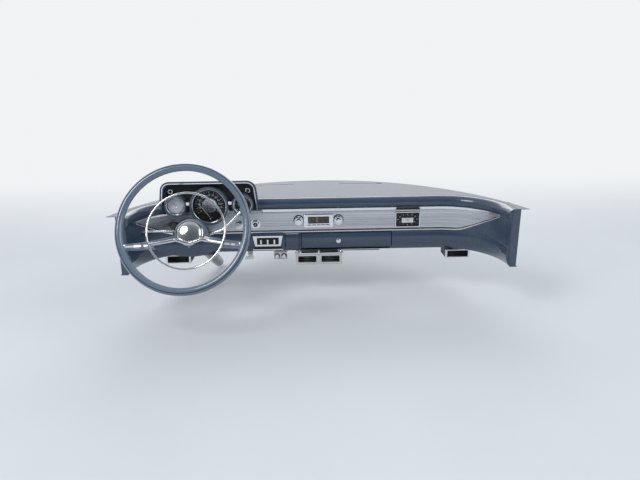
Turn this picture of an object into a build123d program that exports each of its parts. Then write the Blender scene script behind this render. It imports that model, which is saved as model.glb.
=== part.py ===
"""Dashboard of a 1950s saloon car with its steering column, wheel and shift lever.

Millimetres. +Z is up, +Y is forward and +X is the passenger's side. The shelf is
level, and the origin is midway between the two bolts of the cowl flange.
"""
import os
from math import cos, radians, sin, sqrt

from build123d import *

os.makedirs("parts", exist_ok=True)

# Pressed steel of the dash panel
SHEET = 1.6            # thickness of the pressed steel
SEAM = 0.3             # gap where a piece seats on a curved panel
FRONT_R = 700.0        # arc of the windscreen's base, seen from above
FRONT_HALF = 450.0     # half length of that arc, across the car
FACE_DEPTH = 335.0     # the arc's centre lies this far behind the face
SIDE_OUT = 58.0        # the shelf's rear corners lie this far outside the face's ends
FLANGE_W = 26.0        # width of the cowl flange
FLANGE_DROP = 8.0      # the shelf stands this far above the flange's seat
COWL_BOLT_X = 260.0    # half the spacing of the cowl bolts
COWL_BOLT_R = 3.5      # radius of the cowl bolt holes

# Face of the panel: a profile that runs straight, then turns to the rear at each end
STRAIGHT = 466.0       # half length of the straight part
END_R = 210.0          # radius of each turned end
END_RUN = 28.0         # straight run behind the turned end
LAP = 26.0             # flange that lies under the shelf
JOG = 16.0             # the skin steps down here, this far ahead of the crest
ROLL_OUT = 13.0        # the padded roll stands this far out of the face
ROLL_MID = 20.0        # height of the roll's middle, below the shelf
ROLL_END = 40.0        # the roll ends and the flat face starts
PANEL_TOP = 139.0      # the flat face ends and the painted lower panel starts
PANEL_OUT = 10.0       # the lower panel stands this far out
PANEL_END = 214.0      # lower edge of the panel
PANEL_IN = 8.0         # that edge stands this far in
RETURN = 26.0          # flange along the lower edge

# End plates
END_PLATE_T = 3.0
END_PLATE_L = 120.0
END_BOLT_R = 4.25
END_BOLT_PITCH = 100.0

# Bright insert across the face
INSERT_T = 1.0         # thickness of the insert
INSERT_TOP = 42.0      # its upper edge, below the shelf
INSERT_END = 129.5     # its lower edge
INSERT_IN = 10.0       # its pointed tips end this far inside the face's ends
INSERT_TURN = 92.0     # the lower edge starts to rise this far inside them
FRAME_W = 8.0          # width of the moulding round the insert
FRAME_T = 4.0          # it stands this far out
BAND_H = 10.0          # raised band under the roll
BAND_T = 2.5

# Instruments
BINNACLE_IN = 262.0    # middle of the instruments, in from the dash's left end
HOOD_PROUD = 52.0      # the hood's rear edge stands this far behind the face
HOOD_TOP = 82.0        # height of the hood above the shelf
HOOD_FOOT = 46.0       # the hood's sides end this far below the shelf
HOOD_BASE = 192.0      # half width at the foot
HOOD_CROWN = 176.0     # half width at the top
HOOD_CORNER = 36.0     # radius of the upper corners
HOOD_REACH = 110.0     # the hood fades into the shelf this far ahead of the face
HOOD_NOSE = 128.0      # half width at that front end
HOOD_SHIFT = 24.0      # its middle lies this far towards the car's middle
HOOD_T = 5.0           # thickness of the hood's wall
HOOD_EDGE = 9.0        # width of its folded edge
HOOD_FOLD = 3.0        # thickness of that fold
BEZEL_IN = 5.5         # bright bead on that edge, this far inside it
BEZEL_T = 3.5
BEZEL_END = 16.0       # it ends this far above the hood's foot
DIAL_DOWN = 12.0       # centre of the speedometer, below the shelf
DIAL_R = 73.0          # outer radius of its rim
POD_X = 126.0          # side pods, each way from the speedometer
POD_DOWN = 9.0
POD_R = 41.0

WELL_HALF = 150.0      # half width of the opening in the panel behind the hood
WELL_REACH = 40.0     # it reaches this far into the shelf
WELL_FOOT = 40.0       # and this far down the face
WELL_NOSE = 137.0      # half width in the shelf
WELL_SHIFT = 13.0      # its middle there
PANEL_DEPTH = 24.0     # the panel lies this far inside the hood's edge
PANEL_T = 3.0
DIAL_DEEP = 86.0       # depth of the speedometer's case
POD_DEEP = 44.0        # depth of the side pods' cases
LAMP_X = 146.0         # turn signal lamps, each way from the middle
LAMP_UP = 41.0         # and above the shelf
LAMP_R = 9.5

# Defroster slots in the shelf
DEFROST_X = 195.0
DEFROST_Y = -56.0
DEFROST_W = 188.0
DEFROST_H = 12.0

# Openings and controls on the face: place across the car, and below the shelf
RADIO_DOWN = 91.0
RADIO_W = 118.0
RADIO_H = 54.0
RADIO_KNOB_X = 78.0
RADIO_DEEP = 150.0
KNOB_R = 17.0
KNOB_SKIRT = 5.0       # thickness of a knob's skirt
KNOB_H = 20.0          # height of a knob
CLOCK_X = 352.0
CLOCK_DOWN = 92.0
CLOCK_W = 98.0
CLOCK_H = 62.0
SPINDLE_R = 5.0
SWITCH_R = 12.0
IGNITION_IN = 429.0    # in from that end, as are the next places with IN
IGNITION_DOWN = 98.0
WIPER_IN = 363.0
WIPER_DOWN = 101.0
LIGHT_IN = 123.0       # headlight switch, in from the dash's left end
LIGHT_DOWN = 92.0
HEATER_X = -201.0
HEATER_DOWN = 166.0
HEATER_W = 118.0
HEATER_H = 42.0
HEATER_OUT = 20.0

# Ashtray and glove box, both in the lower panel
DOOR_TOP = 143.0       # upper edge of the glove door and the ashtray's front
DOOR_END = 207.0       # lower edge of both
GAP = 3.0              # shut line round both
GLOVE_LEFT = -68.0
GLOVE_RIGHT = 288.0
ASH_LEFT = -131.0
ASH_RIGHT = -80.0
DOOR_T = 11.0          # depth of the glove door's folded edge
PIN_R = 3.0            # hinge pins of the glove door
FOOT_R = 8.0           # rounded foot of the door, about its pins
HINGE_IN = 9.0         # the pins lie this far ahead of the face
EAR_R = 6.0            # ears that hold the pins
BOX_AT = 19.0          # the glove box starts this far ahead of the face
BOX_T = 2.5            # its wall
GLOVE_KNOB_X = 78.0
GLOVE_KNOB_DOWN = 172.0
SLIDE_FIT = 0.25       # clearance round the ashtray in its sleeve
RUN_FIT = 0.06         # radial clearance of what turns or slides
GLOVE_DEEP = 210.0     # depth of the glove box
ASH_DEEP = 96.0        # depth of the ashtray
ASH_WALL = 1.5

# Air outlets under the dash
AIR_W = 188.0
AIR_H = 46.0
AIR_DEEP = 120.0
AIR_TOP = -223.0
AIR_BAR = 18.0         # width of the bar between its two mouths
AIR_LIP = 7.0          # height of its frame above and below them
VANE_PITCH = 8.0
VANE_T = 1.5
VANE_DEEP = 14.0
HOSE_R = 15.0
HOSE_L = 26.0
SIDE_AIR_IN = 116.0    # side outlets, in from the dash's ends
SIDE_AIR_W = 100.0
SIDE_AIR_H = 34.0
SIDE_AIR_DEEP = 70.0
SIDE_AIR_TOP = -213.0
CONTROL_X = -154.0     # air conditioning control
CONTROL_Z = -228.0
CONTROL_W = 54.0
CONTROL_H = 30.0
PULL_IN = 401.0        # brake release
PULL_Z = -222.0
PULL_OUT = 30.0
COLUMN_ROOM = 9.0      # clearance of the notch that the column passes through
BRACKET_Y = 18.0       # the column's bracket hangs this far ahead of the face
BRACKET_W = 28.0
BRACKET_T = 5.0

# Steering column and wheel
TILT = 28.0            # the column's slope
WHEEL_IN = 215.5       # column, in from the dash's left end
WHEEL_BACK = 303.0     # wheel's centre behind the face
WHEEL_DOWN = 27.5      # and below the shelf
RIM_R = 213.0          # radius to the middle of the rim
RIM_T = 12.5           # radius of the rim's section
RING_R = 133.0         # horn ring
RING_T = 3.5
RING_FOOT = 36.0       # length of its feet, which end inside the spokes
RING_DOWN = 38.0       # horn ring's plane, below the rim's
HUB_R = 65.0
HUB_TOP = 98.0         # hub's face, below the rim's plane
HUB_END = 136.0        # underside of the hub
CAP_R = 48.0
CAP_H = 20.0
BOW_W = 84.0           # plated bow under the cap
BOW_H = 13.0
BOW_DOWN = 36.0
JACKET_R = 24.0
JACKET_T = 2.0
COLUMN_L = 735.0       # from the rim's plane to the jacket's lower end
SHAFT_R = 9.5
SHAFT_END = 60.0       # the shaft sticks out of the jacket by this much
TIP_R = 8.5            # its turned-down tip, for the coupling
TIP_L = 45.0
NECK_R = 22.5          # the jacket's lower end is swaged down to this
NECK_L = 50.0
SHIFT_AT = 196.0       # middle of the shift collar, below the rim's plane
SHIFT_BEND = (104.0, 33.0, 10.0)    # the shift lever's bend: right, up, towards the wheel
SHIFT_TIP = (178.0, 102.0, 30.0)
SHIFT_H = 34.0         # height of the shift collar
COLLAR_R = 33.0        # radius of the shift collar
HOUSING_R = 61.0       # radius of the signal housing at its top
SIGNAL_UP = 23.0       # the signal lever leaves it this far above its middle
SIGNAL_L = 160.0       # length of the turn signal lever to its knob
BEARING_H = 14.0
# Spokes, from the hub out: across, below the middle, deep, width, thickness
SPOKE = (
    (34.0, 20.0, 108.0, 42.0, 16.0),
    (140.0, 44.0, 70.0, 28.0, 12.0),
    (203.0, 60.0, 6.0, 20.0, 10.0),
)

# Planes and lines that the pieces share
FRONT_Y = -sqrt((FRONT_R + FLANGE_W / 2) ** 2 - COWL_BOLT_X ** 2)
FACE_Y = FRONT_Y + FACE_DEPTH
SHELF_Z = FLANGE_DROP
END_X = STRAIGHT + END_R
SIDE_X = END_X + SIDE_OUT
INSERT_TIP = END_X - INSERT_IN
INSERT_RISE = END_X - INSERT_TURN
LIGHT_X = LIGHT_IN - END_X
BINNACLE_X = BINNACLE_IN - END_X
IGNITION_X = IGNITION_IN - END_X
WIPER_X = WIPER_IN - END_X
PULL_X = PULL_IN - END_X
WHEEL_X = WHEEL_IN - END_X
SIDE_AIR_X = END_X - SIDE_AIR_IN
REAR_Y = FACE_Y - END_R - END_RUN
AIR_Y = FACE_Y + PANEL_IN
SIDE_AIR_Y = FACE_Y - 6.0
END_PLATE_H = PANEL_END - 1.5 * SHEET
END_BOLT_Y = REAR_Y + END_PLATE_L / 2
END_BOLT_Z = SHELF_Z - SHEET - END_PLATE_H / 2


def on_face(x, down, out=0.0):
    """A plane on the flat face, looking at the driver: x across, down from the shelf."""
    return Plane(origin=(x, FACE_Y - out, SHELF_Z - down), x_dir=(1, 0, 0), z_dir=(0, -1, 0))


WHEEL_AT = Vector(WHEEL_X, FACE_Y - WHEEL_BACK, SHELF_Z - WHEEL_DOWN)
UP_COLUMN = Vector(0, -cos(radians(TILT)), sin(radians(TILT)))
COLUMN = Axis(WHEEL_AT, UP_COLUMN)


def on_column(down):
    """A plane square to the column, this far below the rim's plane."""
    return Plane(origin=WHEEL_AT - UP_COLUMN * down, x_dir=(1, 0, 0), z_dir=UP_COLUMN)


WHEEL_PLANE = on_column(0)


ALONG_COLUMN = Plane(
    origin=WHEEL_AT, x_dir=(1, 0, 0), z_dir=(0, -sin(radians(TILT)), -cos(radians(TILT)))
)
END_PLANE = Plane(origin=(-END_X, REAR_Y, SHELF_Z), x_dir=(1, 0, 0), z_dir=(0, -1, 0))

with BuildLine(Plane.XY.offset(SHELF_Z)) as crest_line:
    Line((-END_X, REAR_Y), (-END_X, FACE_Y - END_R))
    RadiusArc((-END_X, FACE_Y - END_R), (-STRAIGHT, FACE_Y), END_R)
    Line((-STRAIGHT, FACE_Y), (STRAIGHT, FACE_Y))
    RadiusArc((STRAIGHT, FACE_Y), (END_X, FACE_Y - END_R), END_R)
    Line((END_X, FACE_Y - END_R), (END_X, REAR_Y))
CREST = Wire(crest_line.line.edges())

# The profile of the face's skin, along the middle of the sheet
with BuildLine() as skin_line:
    Line((-LAP, -SHEET * 1.5), (-JOG, -SHEET * 1.5))
    Line((-JOG, -SHEET * 1.5), (2 - JOG, -SHEET / 2))
    Line((2 - JOG, -SHEET / 2), (-8, -SHEET / 2))
    TangentArc((-8, -SHEET / 2), (ROLL_OUT, -ROLL_MID), tangent=(1, 0))
    TangentArc((ROLL_OUT, -ROLL_MID), (0, -ROLL_END), tangent=(0, -1))
    Line((0, -ROLL_END), (0, -PANEL_TOP))
    Line((0, -PANEL_TOP), (PANEL_OUT * 0.6, -PANEL_TOP - 5))
    ThreePointArc((PANEL_OUT * 0.6, -PANEL_TOP - 5),
                  (PANEL_OUT, -PANEL_TOP - 30), (-PANEL_IN, -PANEL_END))
    Line((-PANEL_IN, -PANEL_END), (-PANEL_IN - RETURN, -PANEL_END))

with BuildSketch() as skin_section:
    trace(skin_line.line, line_width=SHEET)

with BuildSketch() as solid_section:
    with BuildLine():
        add(skin_line.line)
        Line((-PANEL_IN - RETURN, -PANEL_END), (-160, -PANEL_END))
        Line((-160, -PANEL_END), (-160, -SHEET * 1.5))
        Line((-160, -SHEET * 1.5), (-LAP, -SHEET * 1.5))
    make_face()
    trace(skin_line.line, line_width=SHEET)

with BuildSketch() as seat_section:
    add(solid_section.sketch)
    trace(skin_line.line, line_width=SHEET + 2 * SEAM)

# What the panel fills: other pieces are trimmed to it, so that they seat on its skin
panel_bulk = sweep(END_PLANE * seat_section.sketch, path=CREST, mode=Mode.PRIVATE)


# The space behind the straight part of the face, up to the back of its skin
ON_YZ = Plane(origin=(0, FACE_Y, SHELF_Z), x_dir=(0, -1, 0), z_dir=(-1, 0, 0))
with BuildPart() as behind:
    with BuildSketch(ON_YZ):
        add(solid_section.sketch)
        with Locations((-180, -PANEL_END / 2)):
            Rectangle(340, PANEL_END + 10)
        add(skin_section.sketch, mode=Mode.SUBTRACT)
    extrude(amount=STRAIGHT, both=True)

# Shelf of the dash, with the windscreen's cowl flange along its front
EDGE = JOG + SEAM      # the shelf ends this far ahead of the crest, on the face's lap
side = Vector(FRONT_HALF, FRONT_Y + sqrt(FRONT_R ** 2 - FRONT_HALF ** 2))
fall = FRONT_HALF / FRONT_R, -sqrt(1 - (FRONT_HALF / FRONT_R) ** 2)
with BuildSketch(Plane.XY.offset(SHELF_Z)) as shelf_outline:
    with BuildLine():
        Line((-SIDE_X, REAR_Y), (-END_X - EDGE, REAR_Y))
        Line((-END_X - EDGE, REAR_Y), (-END_X - EDGE, FACE_Y - END_R))
        RadiusArc((-END_X - EDGE, FACE_Y - END_R), (-STRAIGHT, FACE_Y + EDGE), END_R + EDGE)
        Line((-STRAIGHT, FACE_Y + EDGE), (STRAIGHT, FACE_Y + EDGE))
        RadiusArc((STRAIGHT, FACE_Y + EDGE), (END_X + EDGE, FACE_Y - END_R), END_R + EDGE)
        Line((END_X + EDGE, FACE_Y - END_R), (END_X + EDGE, REAR_Y))
        Line((END_X + EDGE, REAR_Y), (SIDE_X, REAR_Y))
        TangentArc(side, (SIDE_X, REAR_Y), tangent=(-fall[1], -fall[0]))
        RadiusArc((-side.X, side.Y), side, FRONT_R)
        TangentArc((-side.X, side.Y), (-SIDE_X, REAR_Y), tangent=(fall[1], -fall[0]))
    make_face()
shelf_below = extrude(shelf_outline.sketch, amount=-120, mode=Mode.PRIVATE)

# The instruments' well, cut through the face and into the shelf under the hood
FROM_BACK = 330.0      # cuts along the car start this far behind the face
with BuildPart() as well:
    with BuildSketch(on_face(BINNACLE_X, 0, FROM_BACK)):
        with Locations((-WELL_HALF, 12), (WELL_HALF, 12)):
            Rectangle(24, 24)
        with Locations((0, (12 - WELL_FOOT) / 2)):
            Rectangle(2 * WELL_HALF, WELL_FOOT + 12)
        with Locations((-POD_X, -POD_DOWN), (POD_X, -POD_DOWN)):
            Circle(POD_R + SEAM)
    extrude(amount=-FROM_BACK - 4)
    with BuildSketch(on_face(BINNACLE_X, 0)):
        with Locations((WELL_SHIFT, (12 - WELL_FOOT) / 2)):
            Rectangle(2 * WELL_NOSE, WELL_FOOT + 12)
    extrude(amount=-WELL_REACH)
    with BuildSketch(on_face(BINNACLE_X, DIAL_DOWN, FROM_BACK)):
        Circle(DIAL_R + SEAM)
    extrude(amount=-FROM_BACK - WELL_REACH)

with BuildSketch(Plane.XY) as cowl_arc:
    with Locations((0, FRONT_Y)):
        Circle(FRONT_R)
        Circle(FRONT_R - SHEET, mode=Mode.SUBTRACT)
    with Locations((0, FRONT_Y + FRONT_R)):
        Rectangle(2 * FRONT_HALF, FRONT_R, mode=Mode.INTERSECT)

with BuildPart() as dash_top:
    extrude(shelf_outline.sketch, amount=-SHEET)
    extrude(cowl_arc.sketch, amount=SHELF_Z)
    with BuildSketch(Plane.XY):
        with Locations((0, FRONT_Y)):
            Circle(FRONT_R + FLANGE_W)
            Circle(FRONT_R - SHEET, mode=Mode.SUBTRACT)
        with Locations((0, FRONT_Y + FRONT_R)):
            Rectangle(2 * FRONT_HALF, FRONT_R, mode=Mode.INTERSECT)
    extrude(amount=SHEET)
    with BuildSketch(Plane.XY):
        with GridLocations(2 * COWL_BOLT_X, 0, 2, 1):
            Circle(COWL_BOLT_R)
    extrude(amount=SHEET, mode=Mode.SUBTRACT)
    # slots that let the defroster's air out along the windscreen
    with BuildSketch(Plane.XY.offset(SHELF_Z)):
        with Locations((-DEFROST_X, DEFROST_Y), (DEFROST_X, DEFROST_Y)):
            SlotOverall(DEFROST_W, DEFROST_H)
    extrude(amount=-SHEET, mode=Mode.SUBTRACT)
    # the instruments stand in this opening, under their hood
    add(well.part, mode=Mode.SUBTRACT)
dash_top.part.label = "dash_top"
export_step(dash_top.part, "parts/dash_top.step")

# Face of the dash: one pressing from the roll down to the flange under the lower panel
with BuildPart() as dash_face:
    sweep(END_PLANE * skin_section.sketch, path=CREST)
    # opening for the instruments
    add(well.part, mode=Mode.SUBTRACT)
    with BuildSketch(on_face(BINNACLE_X - WELL_HALF, 0)):
        Rectangle(3 * SHEET + 50, 12)
    extrude(amount=-LAP - SHEET, mode=Mode.SUBTRACT)
    # radio, clock and switches in the flat face
    with BuildSketch(on_face(0, 0, 20)):
        with Locations((0, -RADIO_DOWN)):
            Rectangle(RADIO_W - 10, RADIO_H - 10)
        with Locations((-RADIO_KNOB_X, -RADIO_DOWN), (RADIO_KNOB_X, -RADIO_DOWN)):
            Circle(SPINDLE_R + SEAM)
        with Locations((CLOCK_X, -CLOCK_DOWN)):
            Rectangle(CLOCK_W - 10, CLOCK_H - 10)
        with Locations((IGNITION_X, -IGNITION_DOWN), (WIPER_X, -WIPER_DOWN)):
            Circle(SWITCH_R + SEAM)
        with Locations((HEATER_X, -HEATER_DOWN)):
            Rectangle(HEATER_W - 34, HEATER_H - 18)
    extrude(amount=-60, mode=Mode.SUBTRACT)
    with BuildSketch(on_face(LIGHT_X, LIGHT_DOWN, FROM_BACK)):
        Circle(SWITCH_R + SEAM)
    extrude(amount=-FROM_BACK - 60, mode=Mode.SUBTRACT)
    # ashtray and glove door, the door's opening running out through the lower edge
    with BuildSketch(on_face(0, 0, 30)):
        with Locations(((ASH_LEFT + ASH_RIGHT) / 2, -(DOOR_TOP + DOOR_END) / 2)):
            Rectangle(ASH_RIGHT - ASH_LEFT + 2 * GAP, DOOR_END - DOOR_TOP + 2 * GAP)
    extrude(amount=-60, mode=Mode.SUBTRACT)
    with BuildSketch(on_face(0, 0, 2 * PANEL_OUT)):
        with Locations(((GLOVE_LEFT + GLOVE_RIGHT) / 2, -(DOOR_TOP - GAP + PANEL_END - SHEET) / 2)):
            Rectangle(GLOVE_RIGHT - GLOVE_LEFT + 2 * GAP, PANEL_END - SHEET - DOOR_TOP + GAP)
    extrude(amount=-2 * PANEL_OUT - PANEL_IN + SHEET / 2, mode=Mode.SUBTRACT)
    # notch in the lower edge, where the column passes
    with BuildSketch(on_column(WHEEL_BACK + 4 * JACKET_R)):
        Circle(JACKET_R + COLUMN_ROOM)
        with Locations((0, -JACKET_R)):
            Rectangle(2 * (JACKET_R + COLUMN_ROOM), 2 * JACKET_R)
    extrude(amount=8 * JACKET_R, mode=Mode.SUBTRACT)
dash_face.part.label = "dash_face"
export_step(dash_face.part, "parts/dash_face.step")

# Plates that close the ends of the dash and bolt to the windscreen pillars
with BuildPart() as dash_end_right:
    with BuildSketch(Plane.YZ.offset(END_X + LAP)):
        with Locations((REAR_Y + END_PLATE_L / 2, SHELF_Z - SHEET - END_PLATE_H / 2)):
            RectangleRounded(END_PLATE_L, END_PLATE_H, 2)
        with Locations((REAR_Y + END_PLATE_L - 30, SHELF_Z - SHEET - END_PLATE_H / 2)):
            RectangleRounded(60, END_PLATE_H - 60, 12, mode=Mode.ADD)
    extrude(amount=END_PLATE_T)
    with BuildSketch(Plane.YZ.offset(END_X + LAP)):
        with Locations((END_BOLT_Y, END_BOLT_Z)):
            with GridLocations(0, END_BOLT_PITCH, 1, 2):
                Circle(END_BOLT_R)
    extrude(amount=END_PLATE_T, mode=Mode.SUBTRACT)
    with BuildSketch(Plane.XZ.offset(-REAR_Y)):
        with BuildLine():
            top, low = SHELF_Z - 2 * SHEET - SEAM, SHELF_Z - PANEL_END + SHEET
            near, far = END_X + SHEET / 2 + SEAM, END_X + LAP
            Polyline((near, top), (far, top), (far, low), (near + PANEL_IN + SHEET, low),
                     (near, low + 3 * PANEL_IN), close=True)
        make_face()
    extrude(amount=-END_PLATE_T)
dash_end_right.part.label = "dash_end_right"
export_step(dash_end_right.part, "parts/dash_end_right.step")
with BuildPart() as dash_end_left:
    mirror(dash_end_right.part, about=Plane.YZ)
dash_end_left.part.label = "dash_end_left"
export_step(dash_end_left.part, "parts/dash_end_left.step")

# Bright insert: thin sheet that follows the face out to a point at each end
with BuildSketch(on_face(0, 0, FROM_BACK)) as spear:
    with BuildLine():
        Line((-INSERT_TIP, -INSERT_TOP), (INSERT_TIP, -INSERT_TOP))
        Line((INSERT_TIP, -INSERT_TOP), (INSERT_TIP, -INSERT_TOP - 4))
        rise = INSERT_RISE + 28, -INSERT_END + 12
        Line((INSERT_TIP, -INSERT_TOP - 4), rise)
        TangentArc((INSERT_RISE, -INSERT_END), rise, tangent=(1, 0))
        Line((INSERT_RISE, -INSERT_END), (-INSERT_RISE, -INSERT_END))
        TangentArc((-INSERT_RISE, -INSERT_END), (-rise[0], rise[1]), tangent=(-1, 0))
        Line((-rise[0], rise[1]), (-INSERT_TIP, -INSERT_TOP - 4))
        Line((-INSERT_TIP, -INSERT_TOP - 4), (-INSERT_TIP, -INSERT_TOP))
    make_face()
with BuildSketch(on_face(0, 0, FROM_BACK)) as face_holes:
    with Locations((BINNACLE_X, -DIAL_DOWN)):
        Circle(DIAL_R + SEAM)
    with Locations((BINNACLE_X - POD_X, -POD_DOWN), (BINNACLE_X + POD_X, -POD_DOWN)):
        Circle(POD_R + SEAM)
    with Locations((BINNACLE_X, -HOOD_FOOT / 2)):
        Rectangle(2 * HOOD_BASE + 2 * SEAM, HOOD_FOOT + 2 * SEAM)
    with Locations((0, -RADIO_DOWN)):
        Rectangle(RADIO_W + 2 * SEAM, RADIO_H + 2 * SEAM)
    with Locations((-RADIO_KNOB_X, -RADIO_DOWN), (RADIO_KNOB_X, -RADIO_DOWN)):
        Circle(SPINDLE_R + SEAM)
    with Locations((CLOCK_X, -CLOCK_DOWN)):
        Rectangle(CLOCK_W + 2 * SEAM, CLOCK_H + 2 * SEAM)
    with Locations((IGNITION_X, -IGNITION_DOWN), (WIPER_X, -WIPER_DOWN), (LIGHT_X, -LIGHT_DOWN)):
        Circle(SWITCH_R + SEAM)

INSERT_AT = SHEET / 2 + SEAM
with BuildPart() as silver_insert:
    with BuildSketch(END_PLANE):
        with Locations((INSERT_AT + INSERT_T / 2, -INSERT_END / 2)):
            Rectangle(INSERT_T, INSERT_END)
    sweep(path=CREST)
    extrude(spear.sketch, amount=-FROM_BACK - 60, mode=Mode.INTERSECT)
    extrude(face_holes.sketch, amount=-FROM_BACK - 60, mode=Mode.SUBTRACT)
silver_insert.part.label = "silver_insert"
export_step(silver_insert.part, "parts/silver_insert.step")

# Plated moulding along the insert's lower edge and round its points
with BuildPart() as insert_moulding:
    with BuildSketch(END_PLANE):
        with Locations((INSERT_AT + FRAME_T / 2, -PANEL_TOP / 2)):
            Rectangle(FRAME_T, PANEL_TOP - SEAM * 2)
    sweep(path=CREST)
    with BuildSketch(on_face(0, 0, FROM_BACK)):
        offset(spear.sketch_local, amount=FRAME_W, kind=Kind.INTERSECTION)
        offset(spear.sketch_local, amount=SEAM / 3, kind=Kind.INTERSECTION, mode=Mode.SUBTRACT)
        with Locations((0, -INSERT_TOP / 2 + 20)):
            Rectangle(3 * END_X, INSERT_TOP + 40, mode=Mode.SUBTRACT)
    extrude(amount=-FROM_BACK - 60, mode=Mode.INTERSECT)
insert_moulding.part.label = "insert_moulding"
export_step(insert_moulding.part, "parts/insert_moulding.step")

# Raised band along the top of the insert
with BuildPart() as upper_band:
    with BuildSketch(END_PLANE):
        with Locations((INSERT_AT + INSERT_T + BAND_T / 2, -INSERT_TOP - BAND_H / 2)):
            Rectangle(BAND_T, BAND_H)
    sweep(path=CREST)
    with BuildSketch(on_face(0, 0, FROM_BACK)):
        with Locations((0, -INSERT_TOP)):
            Rectangle(2 * INSERT_RISE, 4 * BAND_H)
        with Locations((BINNACLE_X, -INSERT_TOP)):
            Rectangle(2 * HOOD_BASE + 12, 4 * BAND_H, mode=Mode.SUBTRACT)
        with Locations((CLOCK_X, -CLOCK_DOWN)):
            Rectangle(CLOCK_W + 2 * SEAM, CLOCK_H + 30, mode=Mode.SUBTRACT)
    extrude(amount=-FROM_BACK - 60, mode=Mode.INTERSECT)
upper_band.part.label = "upper_band"
export_step(upper_band.part, "parts/upper_band.step")

# Hood over the instruments: an arch that tapers forward into the shelf
NOSE_H = 7.0           # height of its front end above the shelf


def hood_outline(thin):
    """Outlines of the hood's rear edge and front end, set in by a thickness."""
    with BuildSketch(on_face(BINNACLE_X, 0, HOOD_PROUD)) as rear:
        with BuildLine():
            foot = -HOOD_FOOT - 2 * thin
            Polyline((-HOOD_BASE + thin, foot), (HOOD_BASE - thin, foot),
                     (HOOD_CROWN - thin, HOOD_TOP - thin), (-HOOD_CROWN + thin, HOOD_TOP - thin),
                     close=True)
        make_face()
        fillet(rear.vertices().group_by(Axis.Z)[-1], HOOD_CORNER - thin)
    with BuildSketch(on_face(BINNACLE_X + HOOD_SHIFT, 0, thin - HOOD_REACH)) as nose:
        with BuildLine():
            Polyline((-HOOD_NOSE + thin, foot), (HOOD_NOSE - thin, foot),
                     (HOOD_NOSE - 14 - thin, NOSE_H - thin), (14 - HOOD_NOSE + thin, NOSE_H - thin),
                     close=True)
        make_face()
        fillet(nose.vertices().group_by(Axis.Z)[-1], HOOD_CORNER / 2)
    return rear.sketch, nose.sketch


hood_hollow = loft(hood_outline(HOOD_T), mode=Mode.PRIVATE)
hood_fold = extrude(hood_outline(0)[0], amount=-HOOD_FOLD, mode=Mode.PRIVATE)
hood_fold -= extrude(hood_outline(HOOD_EDGE)[0], amount=-HOOD_FOLD, mode=Mode.PRIVATE)
with BuildPart() as hood:
    loft(hood_outline(0))
    add(hood_hollow, mode=Mode.SUBTRACT)
    add(hood_fold)
    add(panel_bulk, mode=Mode.SUBTRACT)
    add(shelf_below, mode=Mode.SUBTRACT)
hood.part.label = "hood"
export_step(hood.part, "parts/hood.step")

# Bright bead round the hood's rear edge
with BuildPart() as hood_bezel:
    rim = hood_outline(BEZEL_IN)[0]
    inside = hood_outline(BEZEL_IN + BEZEL_T)[0]
    add(extrude(rim, amount=BEZEL_T, mode=Mode.PRIVATE))
    add(extrude(inside, amount=BEZEL_T, mode=Mode.PRIVATE), mode=Mode.SUBTRACT)
    with BuildSketch(on_face(BINNACLE_X, HOOD_FOOT, HOOD_PROUD)):
        with Locations((0, BEZEL_END - HOOD_TOP / 2)):
            Rectangle(3 * HOOD_BASE, HOOD_TOP)
    extrude(amount=BEZEL_T, mode=Mode.SUBTRACT)
    add(panel_bulk, mode=Mode.SUBTRACT)
hood_bezel.part.label = "hood_bezel"
export_step(hood_bezel.part, "parts/hood_bezel.step")

# Black panel that fills the hood behind the dials
PANEL_Y = FACE_Y - HOOD_PROUD + PANEL_DEPTH
hood_fill = loft(hood_outline(HOOD_T + SEAM), mode=Mode.PRIVATE)
with BuildPart() as instrument_panel:
    with BuildSketch(Plane.XZ.offset(-PANEL_Y)):
        with Locations((BINNACLE_X, SHELF_Z)):
            Rectangle(3 * HOOD_BASE, 3 * HOOD_TOP)
    extrude(amount=-PANEL_T)
    add(hood_fill, mode=Mode.INTERSECT)
    with BuildSketch(on_face(BINNACLE_X, 0, HOOD_PROUD)):
        with Locations((0, -DIAL_DOWN)):
            Circle(DIAL_R - 4 + SEAM)
        with Locations((-POD_X, -POD_DOWN), (POD_X, -POD_DOWN)):
            Circle(POD_R - 4 + SEAM)
        with Locations((0, -WELL_FOOT - 16)):
            Rectangle(3 * HOOD_BASE, 40)
    extrude(amount=-HOOD_PROUD, mode=Mode.SUBTRACT)
    add(panel_bulk, mode=Mode.SUBTRACT)
instrument_panel.part.label = "instrument_panel"
export_step(instrument_panel.part, "parts/instrument_panel.step")


def dial_can(x, down, radius, deep, cone):
    """Half section of a round instrument, level with its axis: rim, cone and can."""
    place = Plane(origin=(x, RIM_Y, SHELF_Z - down))
    back = RIM_PROUD + PANEL_DEPTH - SEAM
    with BuildSketch(place) as half:
        with BuildLine():
            Polyline((0, cone), (0, deep), (radius - 23, deep), (radius - 23, POD_DEEP),
                     (radius - 4, POD_DEEP), (radius - 4, back), (radius, back), (radius, 3),
                     (radius - 2, 0), (radius - 5, 0), (radius - 15, cone), close=True)
        make_face()
    return half.sketch


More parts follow.
